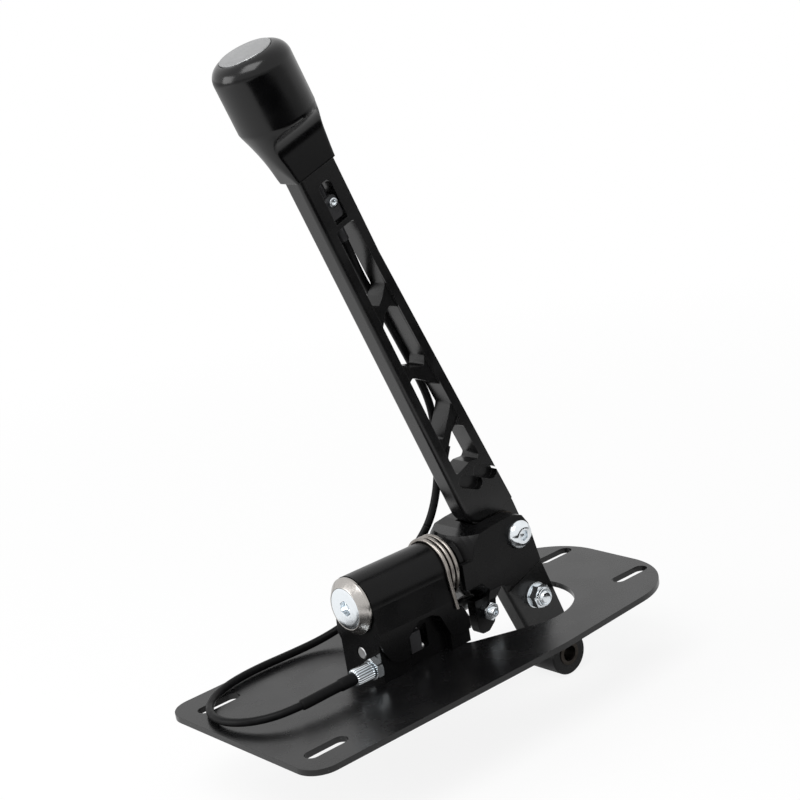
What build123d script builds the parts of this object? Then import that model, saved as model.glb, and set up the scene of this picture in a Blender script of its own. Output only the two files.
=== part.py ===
from build123d import *
import math
import os

os.makedirs("parts", exist_ok=True)

# Short shifter: a lever on a fork, the fork on a cross shaft, the shaft in a housing on a base plate.
# Millimetres. +X runs along the plate towards the lever, +Z is up, and z = 0 is the underside of the
# plate, which bolts to the tunnel. The origin is the middle of that face. A cable from the pull-up
# knob draws back a pin under the shaft, which otherwise keeps the fork out of the reverse gate.

# Base plate
plate_len = 300.0
plate_w = 141.0
plate_end_w = 122.0
plate_t = 3.5
plate_taper_x = 36.0
plate_bend_r = 60.0
plate_front_r = 15.0
plate_rear_r = 46.0
slot_len = 28.0
slot_w = 9.0
front_slot_in = 24.0
front_slot_pitch = 100.4
rear_slot_in = 20.0
rear_slot_pitch = 66.0
opening_x = 59.3
opening_r = 38.7
opening_end_x = 12.5
opening_end_y = 13.0
opening_end_r = 8.0

# Housing and barrel, heights from the top of the plate
housing_front_x = -57.0
housing_rear_x = 9.5
housing_w = 39.0
housing_shoulder = 29.5
barrel_r = 17.5
shaft_height = 44.4
rear_step_h = 16.0
rear_step_in = 3.8
rear_shelf_h = 23.6
rear_shelf_in = 8.3
side_relief_h = 8.5
side_relief_depth = 2.0
side_corner_r = 13.0
side_round_r = 4.0
arch_front_x = -37.0
arch_rear_x = -5.0
arch_height = 27.0
arch_depth = 7.0
foot_screw_x = (-43.0, -4.0)
foot_screw_y = 8.5
foot_screw_d = 6.0
foot_screw_head_d = 11.3
foot_screw_reach = 7.5

# Cross shaft, its bushes and the end washer
shaft_d = 16.0
bush_wall = 2.5
bush_len = 16.0
bush_step = 1.0
run_gap = 0.03
washer_r = 17.2
washer_t = 5.6
washer_rim = 1.6
washer_bevel = 4.2
washer_gap = 0.5
end_screw_d = 10.0
end_screw_head_r = 12.3
end_screw_cone = 4.7
end_screw_socket = 8.0
end_screw_len = 28.0
thrust_ring_r = 14.0
thrust_ring_gap = 0.3
shaft_in_fork = 18.0

# Fork, heights from the top of the plate
fork_w = 40.0
fork_front_x = 12.5
fork_web_x = 34.6
fork_web_chamfer = 1.5
fork_slot_w = 17.4
fork_bottom = 16.5
fork_bevel_x = 37.4
fork_bevel_y = 5.0
fork_bevel_h = 8.4
fork_side = [(46.2, 21.1), (70.5, 29.4), (65.0, 54.7), (60.7, 61.1), (54.8, 63.2), (43.0, 63.2),
             (34.8, 62.6), (26.6, 61.4), (12.5, 61.0)]
fork_toe_r = 3.0
fork_turning = [(12.5, 15.0), (15.0, 15.6), (18.2, 20.2), (21.0, 23.0), (27.0, 26.6), (34.0, 40.0),
                (80.0, 60.0)]
tab_reach = 2.5
tab_len = 14.5
tab_low = 31.5
tab_high = 47.5
tab_t = 3.4
lug_outer_y = -15.5
lug_inner_y = -8.4
lug_side = [(18.5, 20.5), (18.5, 4.0), (20.0, -1.0), (26.5, -1.0), (31.5, 3.0), (34.0, 9.0), (35.2, 20.5)]
lug_r = 3.0
pin_way_w = 18.4
pin_way_h = 3.1

# Lever, in its own frame: v across, u along, from the pivot
pivot_x = 55.7
pivot_height = 50.8
lever_tilt = 19.7
lever_t = 14.4
lever_front = -19.0
lever_rear_top = 7.8
lever_rear_low = 16.2
lever_taper_u = 195.0
lever_knee_u = 10.0
lever_top_u = 283.0
lever_foot_u = 13.1
lever_foot_r = 14.0
lever_arm_front = [(-12.5, 4.0), (-12.5, -10.0), (-17.1, -29.0), (-15.0, -80.0), (-11.0, -95.0)]
lever_arm_rear = [(11.5, -95.0), (14.0, -80.0)]
lever_waist_r = 8.0
lever_edge_r = 2.6
tongue_recess = 1.0
tongue_low_u = -36.0
tongue_high_u = 13.0
rail_front = 7.0
rail_rear = 5.8
rib_recess = 1.3
rib_low_u = 66.0
rib_bend_u = (80.0, 100.0)
rib_end = 20.5
window_r = 1.7
inner_f = lever_front + rail_front
cable_web_drop = 62.5
cable_web_t = 3.0
cable_web_u = lever_top_u - cable_web_drop
# A corner without a v lies on the inside of the rear rail
window_corners = [
    [(inner_f, cable_web_u), (inner_f, 173.0), (-8.0, 168.5), (-2.5, 172.0), (None, 177.5), (None, cable_web_u)],
    [(-5.8, 162.5), (-1.0, 164.8), (None, 161.0), (None, 126.0), (2.0, 121.0), (-7.0, 126.5), (inner_f, 131.5),
     (inner_f, 156.0)],
    [(inner_f, 118.5), (-8.5, 119.8), (-4.1, 115.6), (None, 105.0), (None, 90.3), (4.1, 87.4), (-8.7, 75.6),
     (inner_f, 78.0)],
    [(inner_f, 64.6), (-1.3, 75.4), (3.3, 77.6), (None, 73.8), (None, 51.9), (5.9, 50.2), (-0.3, 52.6),
     (inner_f, 51.8)],
]
scallop_at = [(-5.5, 41.5), (7.0, 40.0)]
scallop_len = 19.0
scallop_w = 8.0
scallop_depth = 4.5
scallop_turn = 42.0
pivot_d = 10.0
pivot_head_r = 8.75
pivot_head_h = 5.5
pivot_bush_od = 14.0
thrust_r = 12.0
arm_bolt_v = 0.3
arm_bolt_u = -51.3
arm_bolt_d = 8.0
eye_u = -98.0
eye_r = 13.8
eye_len = 26.0
eye_bush_r = 7.5
eye_bore_r = 5.0
eye_bush_stand = 0.6

# Knob
knob_r = 22.4
knob_skirt = 26.5
knob_shoulder = 5.0
knob_height = 46.5
knob_v = -8.4
knob_edge_r = 9.0
knob_side_flare = 12.0
knob_front_flare = 36.0
knob_rear_flare = 20.0
collar_gap = 0.3
collar_wall = 1.1
cap_r = 15.2
cap_t = 2.4
cap_proud = 0.6
knob_lift = 9.0

# Knob slider, its screw and the slot it runs in
slider_v = -4.9
slider_w = 8.4
slider_len = 13.5
slider_drop = 57.4
slider_t = 11.0
slider_gap = 0.3
slider_round = 2.5
slider_rod_d = 6.0
slider_rod_in_knob = 14.0
slider_screw_rise = 9.8
slider_screw_d = 3.0
slider_screw_len = 4.5
slider_screw_head_d = 5.4
slider_screw_head_h = 2.2

# Lock pin, its link and its spring
pin_height = 14.6
pin_d = 8.0
pin_tip_x = 29.5
link_len = 8.0
link_h = 12.0
link_side = 7.5
link_gap = 0.5
cavity_front_x = -46.0
cavity_rear_x = -18.0
pin_spring_wire = 1.0
pin_spring_turns = 3.0
pin_spring_gap = 1.2
nipple_r = 2.0
nipple_len = 3.0
stop_screw_x = 26.5
stop_screw_height = 12.3
stop_screw_d = 6.0
stop_screw_reach = 0.7
stop_screw_tail = 8.0

# Cable and its fittings
cable_d = 4.8
adjuster_y = -12.5
adjuster_height = 9.0
adjuster_d = 10.4
adjuster_len = 12.5
adjuster_stem_r = 3.0
adjuster_stem_in = 7.5
adjuster_nut_af = 12.0
adjuster_nut_t = 4.5
adjuster_nut_gap = 0.6
boot_d = 7.4
boot_len = 9.5
sleeve_d = 6.2
wire_d = 1.6
wire_gap = 0.4
ferrule_d = 6.0
ferrule_len = 10.0
cable_v = -4.4
cable_y = 0.8
cable_groove = 0.3
route_low = [(-92.0, -12.5, 12.5), (-110.0, -11.6, 11.4), (-126.5, -6.5, 9.8), (-138.5, 5.5, 8.2),
             (-143.8, 22.0, 6.9), (-139.8, 40.0, 6.3), (-127.5, 54.0, 6.3), (-109.0, 61.5, 6.3),
             (-87.0, 63.6, 6.3), (-64.0, 62.0, 6.3), (-42.0, 58.4, 8.0), (-24.0, 52.2, 14.0),
             (-10.0, 44.2, 24.0), (0.0, 35.2, 36.0), (7.2, 26.4, 48.3), (12.2, 19.0, 59.0),
             (16.3, 13.8, 68.2), (20.9, 11.7, 78.0), (25.6, 10.6, 91.0), (28.8, 10.0, 107.5),
             (30.3, 9.9, 125.5), (29.2, 9.9, 143.0), (22.9, 9.9, 161.5)]
# Below the ferrule, across the lever, and to the side
route_high = [(67.5, 4.0, 9.9), (52.5, 3.1, 9.9), (39.5, 1.4, 9.7), (28.5, -0.6, 7.6), (19.0, -3.0, 3.8),
              (9.5, -4.4, 0.8)]
boot_end = 1
base_run_end = 15
fork_run_end = 18

# Centring spring
spring_wire = 2.5
spring_turns = 2.5
spring_pitch = 3.5
spring_x = -0.4
spring_seat_gap = 0.4
spring_bore_gap = 0.1
spring_leg_h = 30.3
spring_leg_out = 2.15
spring_leg_along = (1.2, 0.3)
spring_sides = 8
pin_spring_sides = 6
coil_arc = 0.97

# Heights and half widths that follow from the sizes above
z0 = plate_t
shaft_z = z0 + shaft_height
pivot_z = z0 + pivot_height
pin_z = z0 + pin_height
stop_z = z0 + stop_screw_height
adjuster_z = z0 + adjuster_height
half_h = housing_w / 2
half_f = fork_w / 2
half_slot = fork_slot_w / 2
half_t = lever_t / 2
far = 400.0
lever_at = Location((pivot_x, 0, pivot_z), (0, -lever_tilt, 0))
low_align = (Align.CENTER, Align.CENTER, Align.MIN)

parts = {}


def keep(name, *solids):
    """Register one named piece, or a group of like pieces."""
    parts[name] = solids[0] if len(solids) == 1 else Compound(children=list(solids))


def rod(r, length):
    """A round bar standing on its end."""
    return Cylinder(r, length, align=low_align)


def rod_x(r, x0, x1, y, z):
    """A round bar along X between two positions."""
    return Location((x0, y, z), (0, 90, 0)) * rod(r, x1 - x0)


def rod_y(r, y0, y1, x, z):
    """A round bar along Y between two positions, y0 below y1."""
    return Location((x, y1, z), (90, 0, 0)) * rod(r, y1 - y0)


def box(x0, x1, y0, y1, low, high):
    """A block between two corners."""
    return Pos((x0 + x1) / 2, (y0 + y1) / 2, (low + high) / 2) * Box(x1 - x0, y1 - y0, high - low)


def slab(points, y0, y1):
    """A closed outline of (x, z) points, between two y positions."""
    face = make_face(Polyline(*[(x, y0, z) for x, z in points], close=True))
    return extrude(face, y1 - y0, dir=(0, 1, 0))


def raised(points):
    """Points given from the top of the plate, as points of the whole part."""
    return [(x, z0 + h) for x, h in points]


def turned_x(points, x, z):
    """A solid of revolution about an axis along X, from (along, radius) points."""
    face = make_face(Polyline(*[(a, r, 0) for a, r in points], close=True))
    return Pos(x, 0, z) * revolve(face, Axis.X)


def along_y_edges(solid, pick):
    """Edges parallel to Y whose middle satisfies pick."""
    return [e for e in solid.edges().filter_by(Axis.Y) if pick(e.center())]


def near(c, points, lift=0.0):
    """Whether the middle of an edge along Y lies on one of the (x, z) points."""
    return any(math.hypot(c.X - x, c.Z - lift - z) < 0.01 for x, z in points)


def hexagon(af, thick):
    """A hexagonal prism of a given width across flats, standing on its face."""
    return extrude(RegularPolygon(af / 2, 6, major_radius=False), thick)


def nut(af, thick, hole_r):
    """A hexagonal nut with turned-off corners."""
    turned = make_face(Polyline((0, 0, 0), (af * 0.5, 0, 0), (af * 0.6, 0, thick * 0.25),
                                (af * 0.6, 0, thick * 0.75), (af * 0.5, 0, thick), (0, 0, thick), close=True))
    return (hexagon(af, thick) & revolve(turned, Axis.Z)) - Cylinder(hole_r, thick * 3)


def lev(shape):
    """Place a shape drawn in the lever's own frame."""
    return lever_at * shape


def lever_point(u, v, y):
    """A point given along and across the lever, as a world point."""
    tilt = math.radians(lever_tilt)
    return (pivot_x - u * math.sin(tilt) + v * math.cos(tilt), y,
            pivot_z + u * math.cos(tilt) + v * math.sin(tilt))


def coil(wire, radius, pitch, turns, sides, legs=()):
    """A left-hand coil about X, from its -Y side over the top, with a leg's end point at each end."""
    corners = []
    for i in range(round(turns * sides)):
        angle = 2 * math.pi * (i + 0.5) / sides
        out = radius / math.cos(math.pi / sides)
        corners.append((pitch * (i + 0.5) / sides, -out * math.cos(angle), out * math.sin(angle)))
    last = 2 * math.pi * turns
    ends = [(0, -radius, 0), (pitch * turns, -radius * math.cos(last), radius * math.sin(last))]
    points = ends[:1] + corners + ends[1:]
    radii = [radius * coil_arc] * len(corners)
    if legs:
        points = [legs[0]] + points + [legs[1]]
        radii = [wire] + radii + [wire]
    path = FilletPolyline(*points, radius=radii)
    return sweep(Plane(origin=points[0], z_dir=Vector(*points[1]) - Vector(*points[0])) * Circle(wire / 2), path=path)


# Base plate: it narrows to its far end, and has four slots and one egg-shaped opening
half_len = plate_len / 2
plate_face = make_face(Polyline(
    (-half_len, -plate_w / 2), (plate_taper_x, -plate_w / 2), (half_len, -plate_end_w / 2),
    (half_len, plate_end_w / 2), (plate_taper_x, plate_w / 2), (-half_len, plate_w / 2), close=True))
for corner_x, corner_r in ((-half_len, plate_front_r), (plate_taper_x, plate_bend_r), (half_len, plate_rear_r)):
    plate_face = fillet([v for v in plate_face.vertices() if abs(v.X - corner_x) < 0.01], corner_r)
plate = extrude(plate_face, plate_t)
opening_face = make_hull((
    Pos(opening_x, 0) * Circle(opening_r).edges()[0],
    Pos(opening_end_x, opening_end_y) * Circle(opening_end_r).edges()[0],
    Pos(opening_end_x, -opening_end_y) * Circle(opening_end_r).edges()[0]))
plate -= Pos(0, 0, -1) * extrude(opening_face, plate_t + 2)
slot_places = [(front_slot_in - half_len, front_slot_pitch / 2), (front_slot_in - half_len, -front_slot_pitch / 2),
               (half_len - rear_slot_in, rear_slot_pitch / 2), (half_len - rear_slot_in, -rear_slot_pitch / 2)]
for sx, sy in slot_places:
    plate -= Pos(sx, sy, -1) * extrude(SlotOverall(slot_len, slot_w), plate_t + 2)
foot_places = [(fx, s * foot_screw_y) for fx in foot_screw_x for s in (1, -1)]
foot_head_r = foot_screw_head_d / 2
foot_r = foot_screw_d / 2
foot_cone = Cone(foot_head_r, foot_r, foot_head_r - foot_r, align=low_align)
for fx, fy in foot_places:
    plate -= Pos(fx, fy, 0) * (Cylinder(foot_r, plate_t * 3) + foot_cone)
keep("base_plate", plate)

# Bearing housing: a block with a round barrel on top, relieved sides and an arch in each of them
section = make_face(Polyline((0, -half_h, z0), (0, half_h, z0), (0, half_h, z0 + housing_shoulder),
                             (0, barrel_r, shaft_z), (0, -barrel_r, shaft_z),
                             (0, -half_h, z0 + housing_shoulder), close=True))
housing = Pos(housing_front_x, 0, 0) * extrude(section, housing_rear_x - housing_front_x, dir=(1, 0, 0))
shelf_x = housing_rear_x - rear_shelf_in
housing -= slab([(housing_rear_x + 1, z0 + rear_step_h), (housing_rear_x, z0 + rear_step_h),
                 (housing_rear_x - rear_step_in, z0 + rear_shelf_h), (shelf_x, z0 + rear_shelf_h),
                 (shelf_x, shaft_z + 1), (housing_rear_x + 1, shaft_z + 1)], -half_h - 1, half_h + 1)
seat_x = spring_x - spring_wire / 2 - spring_seat_gap
housing -= rod_x(barrel_r + spring_wire + spring_bore_gap + spring_seat_gap, seat_x, housing_rear_x + 1, 0, shaft_z)

side_top = z0 + side_relief_h
arch_top = z0 + arch_height
relief_side = [(housing_front_x - 1, z0 - 1), (housing_rear_x + 1, z0 - 1), (housing_rear_x + 1, side_top)]
relief_front = [(housing_front_x + side_corner_r * 0.85, side_top),
                (housing_front_x + side_corner_r * 0.4, side_top + side_corner_r * 0.3),
                (housing_front_x + side_corner_r * 0.1, side_top + side_corner_r * 0.8),
                (housing_front_x - 1, side_top + side_corner_r * 1.4)]
arch_side = [(arch_rear_x, side_top), (arch_rear_x - 7, z0 + arch_height * 0.9), (arch_rear_x - 13, arch_top),
             (arch_front_x + 9, arch_top), (arch_front_x, arch_top - 7), (arch_front_x, side_top)]


def on_side(c):
    """Whether a corner of a side cut lies on the housing, above its foot."""
    return housing_front_x + 1 < c.X < housing_rear_x and c.Z > z0 + 1


shallow = slab(relief_side + arch_side + relief_front, -half_h - 1, half_h + 1)
shallow = fillet(along_y_edges(shallow, on_side), side_round_r)
deep = slab([(arch_front_x, z0 - 1), (arch_rear_x, z0 - 1)] + arch_side, -half_h - 1, half_h + 1)
deep = fillet(along_y_edges(deep, lambda c: c.Z > side_top + 1), side_round_r)
shallow -= box(-far, far, side_relief_depth - half_h, half_h - side_relief_depth, 0, far)
deep -= box(-far, far, arch_depth - half_h, half_h - arch_depth, 0, far)
housing = housing - shallow - deep + rod_x(barrel_r, housing_front_x, housing_rear_x, 0, shaft_z)

bush_or = shaft_d / 2 + bush_wall
housing -= rod_x(bush_or - bush_step, housing_front_x - 1, housing_rear_x + 1, 0, shaft_z)
housing -= rod_x(bush_or, housing_front_x - 1, housing_front_x + bush_len, 0, shaft_z)
housing -= rod_x(bush_or, housing_rear_x - bush_len, housing_rear_x + 1, 0, shaft_z)
housing -= rod_x(pin_d / 2 + run_gap, housing_front_x - 1, housing_rear_x + 1, 0, pin_z)
cavity_low = pin_z - link_h / 2 - link_gap
cavity_high = pin_z + link_h / 2 + link_gap
link_near_y = adjuster_y - 4.0
housing -= box(cavity_front_x, cavity_rear_x, link_near_y - link_gap, half_h + 1, cavity_low, cavity_high)
link_x = cavity_front_x + knob_lift + pin_spring_wire * pin_spring_turns
housing -= rod_x(nipple_r + link_gap, link_x + link_len - knob_lift - 1, cavity_rear_x, adjuster_y, adjuster_z)
stem_end_x = housing_front_x + adjuster_stem_in
housing -= rod_x(wire_d / 2 + wire_gap, housing_front_x - 1, cavity_front_x + 1, adjuster_y, adjuster_z)
housing -= rod_x(adjuster_stem_r, housing_front_x - 1, stem_end_x + 0.3, adjuster_y, adjuster_z)
foot_top = z0 + foot_screw_reach
for fx, fy in foot_places:
    housing -= Pos(fx, fy, z0 - 1) * rod(foot_r, foot_screw_reach + 1)
keep("bearing_housing", housing)

# Four countersunk screws hold the housing from below
foot_screw = foot_cone + rod(foot_r, foot_top - 0.3) - hexagon(foot_screw_d * 2 / 3, 1.8)
keep("housing_screws", *[Pos(fx, fy, 0) * foot_screw for fx, fy in foot_places])

# Two plain bushes carry the shaft
bush = rod(bush_or, bush_len) - Cylinder(shaft_d / 2 + run_gap, bush_len * 3)
keep("front_shaft_bush", Location((housing_front_x, 0, shaft_z), (0, 90, 0)) * bush)
keep("rear_shaft_bush", Location((housing_rear_x - bush_len, 0, shaft_z), (0, 90, 0)) * bush)

# Cross shaft, bevelled end washer, countersunk screw, and the ring that takes the fork's thrust
shaft_end_x = housing_front_x - washer_gap
shaft_bar = rod_x(shaft_d / 2, shaft_end_x, fork_front_x + shaft_in_fork, 0, shaft_z)
screw_face_x = shaft_end_x - washer_t
end_screw = turned_x([(0, 0), (0, end_screw_head_r), (0.6, end_screw_head_r), (end_screw_cone, end_screw_d / 2),
                      (end_screw_len, end_screw_d / 2), (end_screw_len, 0)], screw_face_x, shaft_z)
end_washer = turned_x([(0, 0), (0, washer_r), (-washer_rim, washer_r), (-washer_t, washer_r - washer_bevel),
                       (-washer_t, 0)], shaft_end_x, shaft_z)
keep("cross_shaft", shaft_bar - end_screw)
keep("end_washer", end_washer - end_screw)
socket = Location((screw_face_x - 0.1, 0, shaft_z), (0, 90, 0)) * hexagon(end_screw_socket, 4.0)
keep("end_screw", end_screw - socket)
ring = rod_x(thrust_ring_r, housing_rear_x + thrust_ring_gap, fork_front_x, 0, shaft_z)
keep("thrust_ring", ring - rod_x(shaft_d / 2, -far, far, 0, shaft_z))

# Fork: a milled block whose front end is turned down to a neck, slotted for the lever
web_top = z0 + fork_side[-3][1]
fork = slab([(fork_front_x, z0 + fork_bottom), (fork_bevel_x - 1.9, z0 + fork_bottom)]
            + raised([(fork_bevel_x, fork_bottom + fork_bevel_h)] + fork_side), -half_f, half_f)
fork = fillet(along_y_edges(fork, lambda c: near(c, fork_side[:1], z0)), fork_toe_r)
for s in (1, -1):
    corner = make_face(Polyline((0, s * (half_f + 1), z0), (0, s * (half_f - fork_bevel_y), z0),
                                (0, s * (half_f - fork_bevel_y), z0 + fork_bottom),
                                (0, s * half_f, z0 + fork_bottom + fork_bevel_h),
                                (0, s * (half_f + 1), z0 + fork_bottom + fork_bevel_h), close=True))
    fork -= extrude(corner, fork_bevel_x, dir=(1, 0, 0))
fork &= turned_x([(fork_front_x, 0)] + fork_turning + [(fork_turning[-1][0], 0)], 0, shaft_z)
for s in (1, -1):
    low, high = sorted((s * (half_f - tab_t), s * half_f))
    tab_x = fork_front_x - tab_reach
    fork += box(tab_x, tab_x + tab_len, low, high, z0 + tab_low, z0 + tab_high)
lug = slab(raised(lug_side), lug_outer_y, lug_inner_y)
fork += fillet(along_y_edges(lug, lambda c: near(c, lug_side[2:4], z0)), lug_r)
fork -= box(fork_web_x, far, -half_slot, half_slot, -far, far)
fork -= slab([(fork_web_x - fork_web_chamfer, web_top + 1), (fork_web_x - fork_web_chamfer, web_top),
              (fork_web_x, web_top - fork_web_chamfer), (fork_web_x + 1, web_top - fork_web_chamfer),
              (fork_web_x + 1, web_top + 1)], -half_slot, half_slot)
way_top = z0 + fork_bottom + pin_way_h
fork -= box(fork_front_x - 1, fork_web_x + 1, lug_inner_y, lug_inner_y + pin_way_w, 0, way_top)
fork -= rod_x(shaft_d / 2, fork_front_x - 1, fork_front_x + shaft_in_fork, 0, shaft_z)
pivot_hole = rod_y(pivot_d / 2, -far, far, pivot_x, pivot_z)
fork -= pivot_hole
fork -= rod_y(stop_screw_d / 2, -far, 0, stop_screw_x, stop_z)
keep("fork", fork)

# Stop screw through the lug, which meets the lock pin, and its nut
keep("stop_screw", rod_y(stop_screw_d / 2, lug_outer_y - stop_screw_tail, lug_inner_y + stop_screw_reach,
                         stop_screw_x, stop_z))
stop_nut = nut(10.0, 5.0, stop_screw_d / 2)
keep("stop_screw_nut", Location((stop_screw_x, lug_outer_y, stop_z), (90, 0, 0)) * stop_nut)

# Pivot bolt with a round head, washer and lock nut, and a thrust washer each side of the lever
head_face = make_face(Polyline((0, 0, 0), (pivot_head_r, 0, 0), (pivot_head_r, 0, 1.0),
                               (pivot_head_r - 1.4, 0, 3.2), (pivot_head_r - 3.8, 0, pivot_head_h),
                               (0, 0, pivot_head_h), close=True))
head = revolve(head_face, Axis.Z) - Pos(0, 0, pivot_head_h - 3.0) * hexagon(6.0, 4.0)
washer_out = half_f + 1.6
pivot_bolt = Location((pivot_x, -half_f, pivot_z), (90, 0, 0)) * head
keep("pivot_bolt", pivot_bolt + rod_y(pivot_d / 2, -half_f, washer_out + 10.0, pivot_x, pivot_z))
keep("pivot_washer", rod_y(10.0, half_f, washer_out, pivot_x, pivot_z) - pivot_hole)
keep("pivot_nut", Location((pivot_x, washer_out, pivot_z), (-90, 0, 0)) * nut(17.0, 9.0, pivot_d / 2))
tongue_half = half_t - tongue_recess
thrust = []
for s in (1, -1):
    low, high = sorted((s * half_slot, s * (tongue_half + run_gap)))
    thrust.append(rod_y(thrust_r, low, high, pivot_x, pivot_z) - pivot_hole)
keep("thrust_washers", *thrust)

# Outer cable: from the adjuster round the plate, up behind the barrel and along the lever's far side.
# Straight runs are joined by arcs as large as they allow. It is cut where the fork and the lever turn.
nut_x = housing_front_x - adjuster_nut_t
knurl_rear_x = nut_x - adjuster_nut_gap
exit_x = knurl_rear_x - adjuster_len
ferrule_u = cable_web_u - ferrule_len
route = [Vector(exit_x, adjuster_y, adjuster_z)] + [Vector(*p) for p in route_low]
route += [Vector(*lever_point(ferrule_u - drop, v, y)) for drop, v, y in route_high] + [
    Vector(*lever_point(ferrule_u, cable_v, cable_y))]
route_r = [0.0]
for before, here, after in zip(route, route[1:], route[2:]):
    half_turn = math.radians((here - before).get_angle(after - here)) / 2
    shorter = min((here - before).length, (after - here).length)
    route_r.append(0.45 * shorter / math.tan(half_turn))
print("cable radii", [round(r, 1) for r in route_r[1:]])


def cable_run(name, first, last, diameter):
    """A tube round the corners first to last of the route, cut at the middle of the runs beside them."""
    start = route[0] if first == 1 else (route[first - 1] + route[first]) * 0.5
    end = route[-1] if last == len(route) - 2 else (route[last] + route[last + 1]) * 0.5
    path = FilletPolyline(start, *route[first:last + 1], end, radius=route_r[first:last + 1])
    tube = sweep(Plane(origin=start, z_dir=route[first] - start) * Circle(diameter / 2), path=path)
    share = tube.volume / (path.length * math.pi * diameter ** 2 / 4)
    print(name, "length", round(path.length, 1), "volume share", round(share, 4))
    return tube


# Lever: a milled bar with two rails, ribs, four windows and two blind scallops
rear_slope = (lever_rear_low - lever_rear_top) / (lever_taper_u - lever_knee_u)


def rear_at(u):
    """Rear edge of the upper lever at a height u."""
    return lever_rear_top + max(0.0, lever_taper_u - u) * rear_slope


def inner_r(u):
    """Inside of the rear rail at a height u."""
    return rear_at(u) - rail_rear


foot_end_v = lever_front + lever_foot_r + 0.1
bar = slab([(foot_end_v, lever_foot_u), (lever_front, lever_foot_u), (lever_front, lever_top_u),
            (lever_rear_top, lever_top_u), (lever_rear_top, lever_taper_u), (lever_rear_low, lever_knee_u)]
           + lever_arm_rear[::-1] + lever_arm_front[::-1], -half_t, half_t)
bar = fillet(along_y_edges(bar, lambda c: near(c, [(lever_front, lever_foot_u)])), lever_foot_r)
bar = fillet(along_y_edges(bar, lambda c: near(c, lever_arm_front[1:3])), lever_waist_r)
front_edges = [e for e in bar.edges() if abs(e.center().Y) > half_t - 0.1 and e.length > 40
               and e.center().X < -10 and abs(e.center().Z) > 30]
bar = fillet(front_edges, lever_edge_r)

for corners in window_corners:
    window = slab([(inner_r(u) if v is None else v, u) for v, u in corners], -half_t - 1, half_t + 1)
    bar -= fillet(window.edges().filter_by(Axis.Y), window_r)
rib_high_u = cable_web_u - rib_end
bar -= slab([(inner_f, rib_high_u), (inner_f, rib_low_u)] + [(inner_r(u), u) for u in rib_bend_u]
            + [(inner_r(rib_high_u), rib_high_u)], -half_t - 1, rib_recess - half_t)
for sv, su in scallop_at:
    cut = Location((0, scallop_depth - half_t, 0), (90, 0, 0)) * extrude(SlotOverall(scallop_len, scallop_w), half_t)
    bar -= Location((sv, 0, su), (0, scallop_turn, 0)) * cut

slider_u = lever_top_u - slider_drop
slider_screw_u = slider_u + slider_screw_rise
slot_low = cable_web_u + cable_web_t
slot_top = slider_u + slider_len + knob_lift + slider_gap
slot_half = slider_w / 2 + slider_gap
run_slot = box(slider_v - slot_half, slider_v + slot_half, -half_t - 1, half_t + 1, slot_low, slot_top)
bar -= fillet(along_y_edges(run_slot, lambda c: c.Z > slot_low + 1), slider_round + slider_gap)
bar -= Pos(slider_v, 0, slot_top - 1) * rod(slider_rod_d / 2 + run_gap, lever_top_u)
bar -= Pos(cable_v, cable_y, cable_web_u - 1) * rod(wire_d / 2 + wire_gap, cable_web_t + 2)
for s in (1, -1):
    low, high = sorted((s * tongue_half, s * (half_t + 1)))
    bar -= box(-30, 30, low, high, tongue_low_u, tongue_high_u)
bar -= rod_y(pivot_bush_od / 2, -far, far, 0, 0)

# Eye at the foot of the lever: a turned boss, cross-drilled for its bush
boss = rod_y(eye_r, -eye_len / 2, eye_len / 2, 0, eye_u)
boss = chamfer(boss.edges().filter_by(GeomType.CIRCLE), 0.8)
arm_hole = rod_y(arm_bolt_d / 2, -far, far, arm_bolt_v, arm_bolt_u)
bar = bar + boss - rod_y(eye_bush_r, -far, far, 0, eye_u) - arm_hole
keep("lever", lev(bar) - cable_run("groove", fork_run_end + 1, len(route) - 2, cable_d + 2 * cable_groove))
bush_end = eye_len / 2 + eye_bush_stand
eye_bush = rod_y(eye_bush_r, -bush_end, bush_end, 0, eye_u) - rod_y(eye_bore_r, -far, far, 0, eye_u)
keep("eye_bush", lev(eye_bush))
pivot_bush = rod_y(pivot_bush_od / 2, -tongue_half, tongue_half, 0, 0)
keep("pivot_bush", lev(pivot_bush - rod_y(pivot_d / 2 + run_gap, -far, far, 0, 0)))

# Arm bolt with a lock nut on the near side
arm_head = Location((arm_bolt_v, half_t, arm_bolt_u), (-90, 0, 0)) * nut(13.0, 5.3, 0.01)
arm_bolt = rod_y(arm_bolt_d / 2, -half_t - 10.2, half_t + 5.3, arm_bolt_v, arm_bolt_u)
arm_bolt = chamfer(arm_bolt.edges().filter_by(GeomType.CIRCLE).group_by(Axis.Y)[0], 0.9)
keep("arm_bolt", lev(arm_bolt + arm_head))
keep("arm_washer", lev(rod_y(8.0, -half_t - 1.6, -half_t, arm_bolt_v, arm_bolt_u) - arm_hole))
lock = nut(13.0, 5.6, arm_bolt_d / 2) + Pos(0, 0, 5.6) * (rod(5.6, 1.8) - Cylinder(arm_bolt_d / 2, 9))
keep("arm_nut", lev(Location((arm_bolt_v, -half_t - 1.6, arm_bolt_u), (90, 0, 0)) * lock))

# Knob: a round grip milled down on four sides to a square collar, which rides up the lever
collar_f = lever_front - collar_gap - collar_wall
collar_r = lever_rear_top + collar_gap + collar_wall
collar_half = half_t + collar_gap + collar_wall
knob_base_u = lever_top_u - knob_skirt
knob_shoulder_u = lever_top_u + knob_shoulder
knob_top_u = lever_top_u + knob_height


def flare(start, end, radius):
    """A concave arc in the plane of Z and the first axis, from the collar's wall out to the grip's shoulder."""
    reach = abs(end - start)
    turn = math.acos(1 - reach / radius) if reach < radius else math.pi / 2
    side = 1 if end > start else -1
    base = knob_shoulder_u - radius * math.sin(turn)
    return [(start + side * radius * (1 - math.cos(a)), base + radius * math.sin(a)) for a in (0, turn / 2, turn)]


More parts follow.
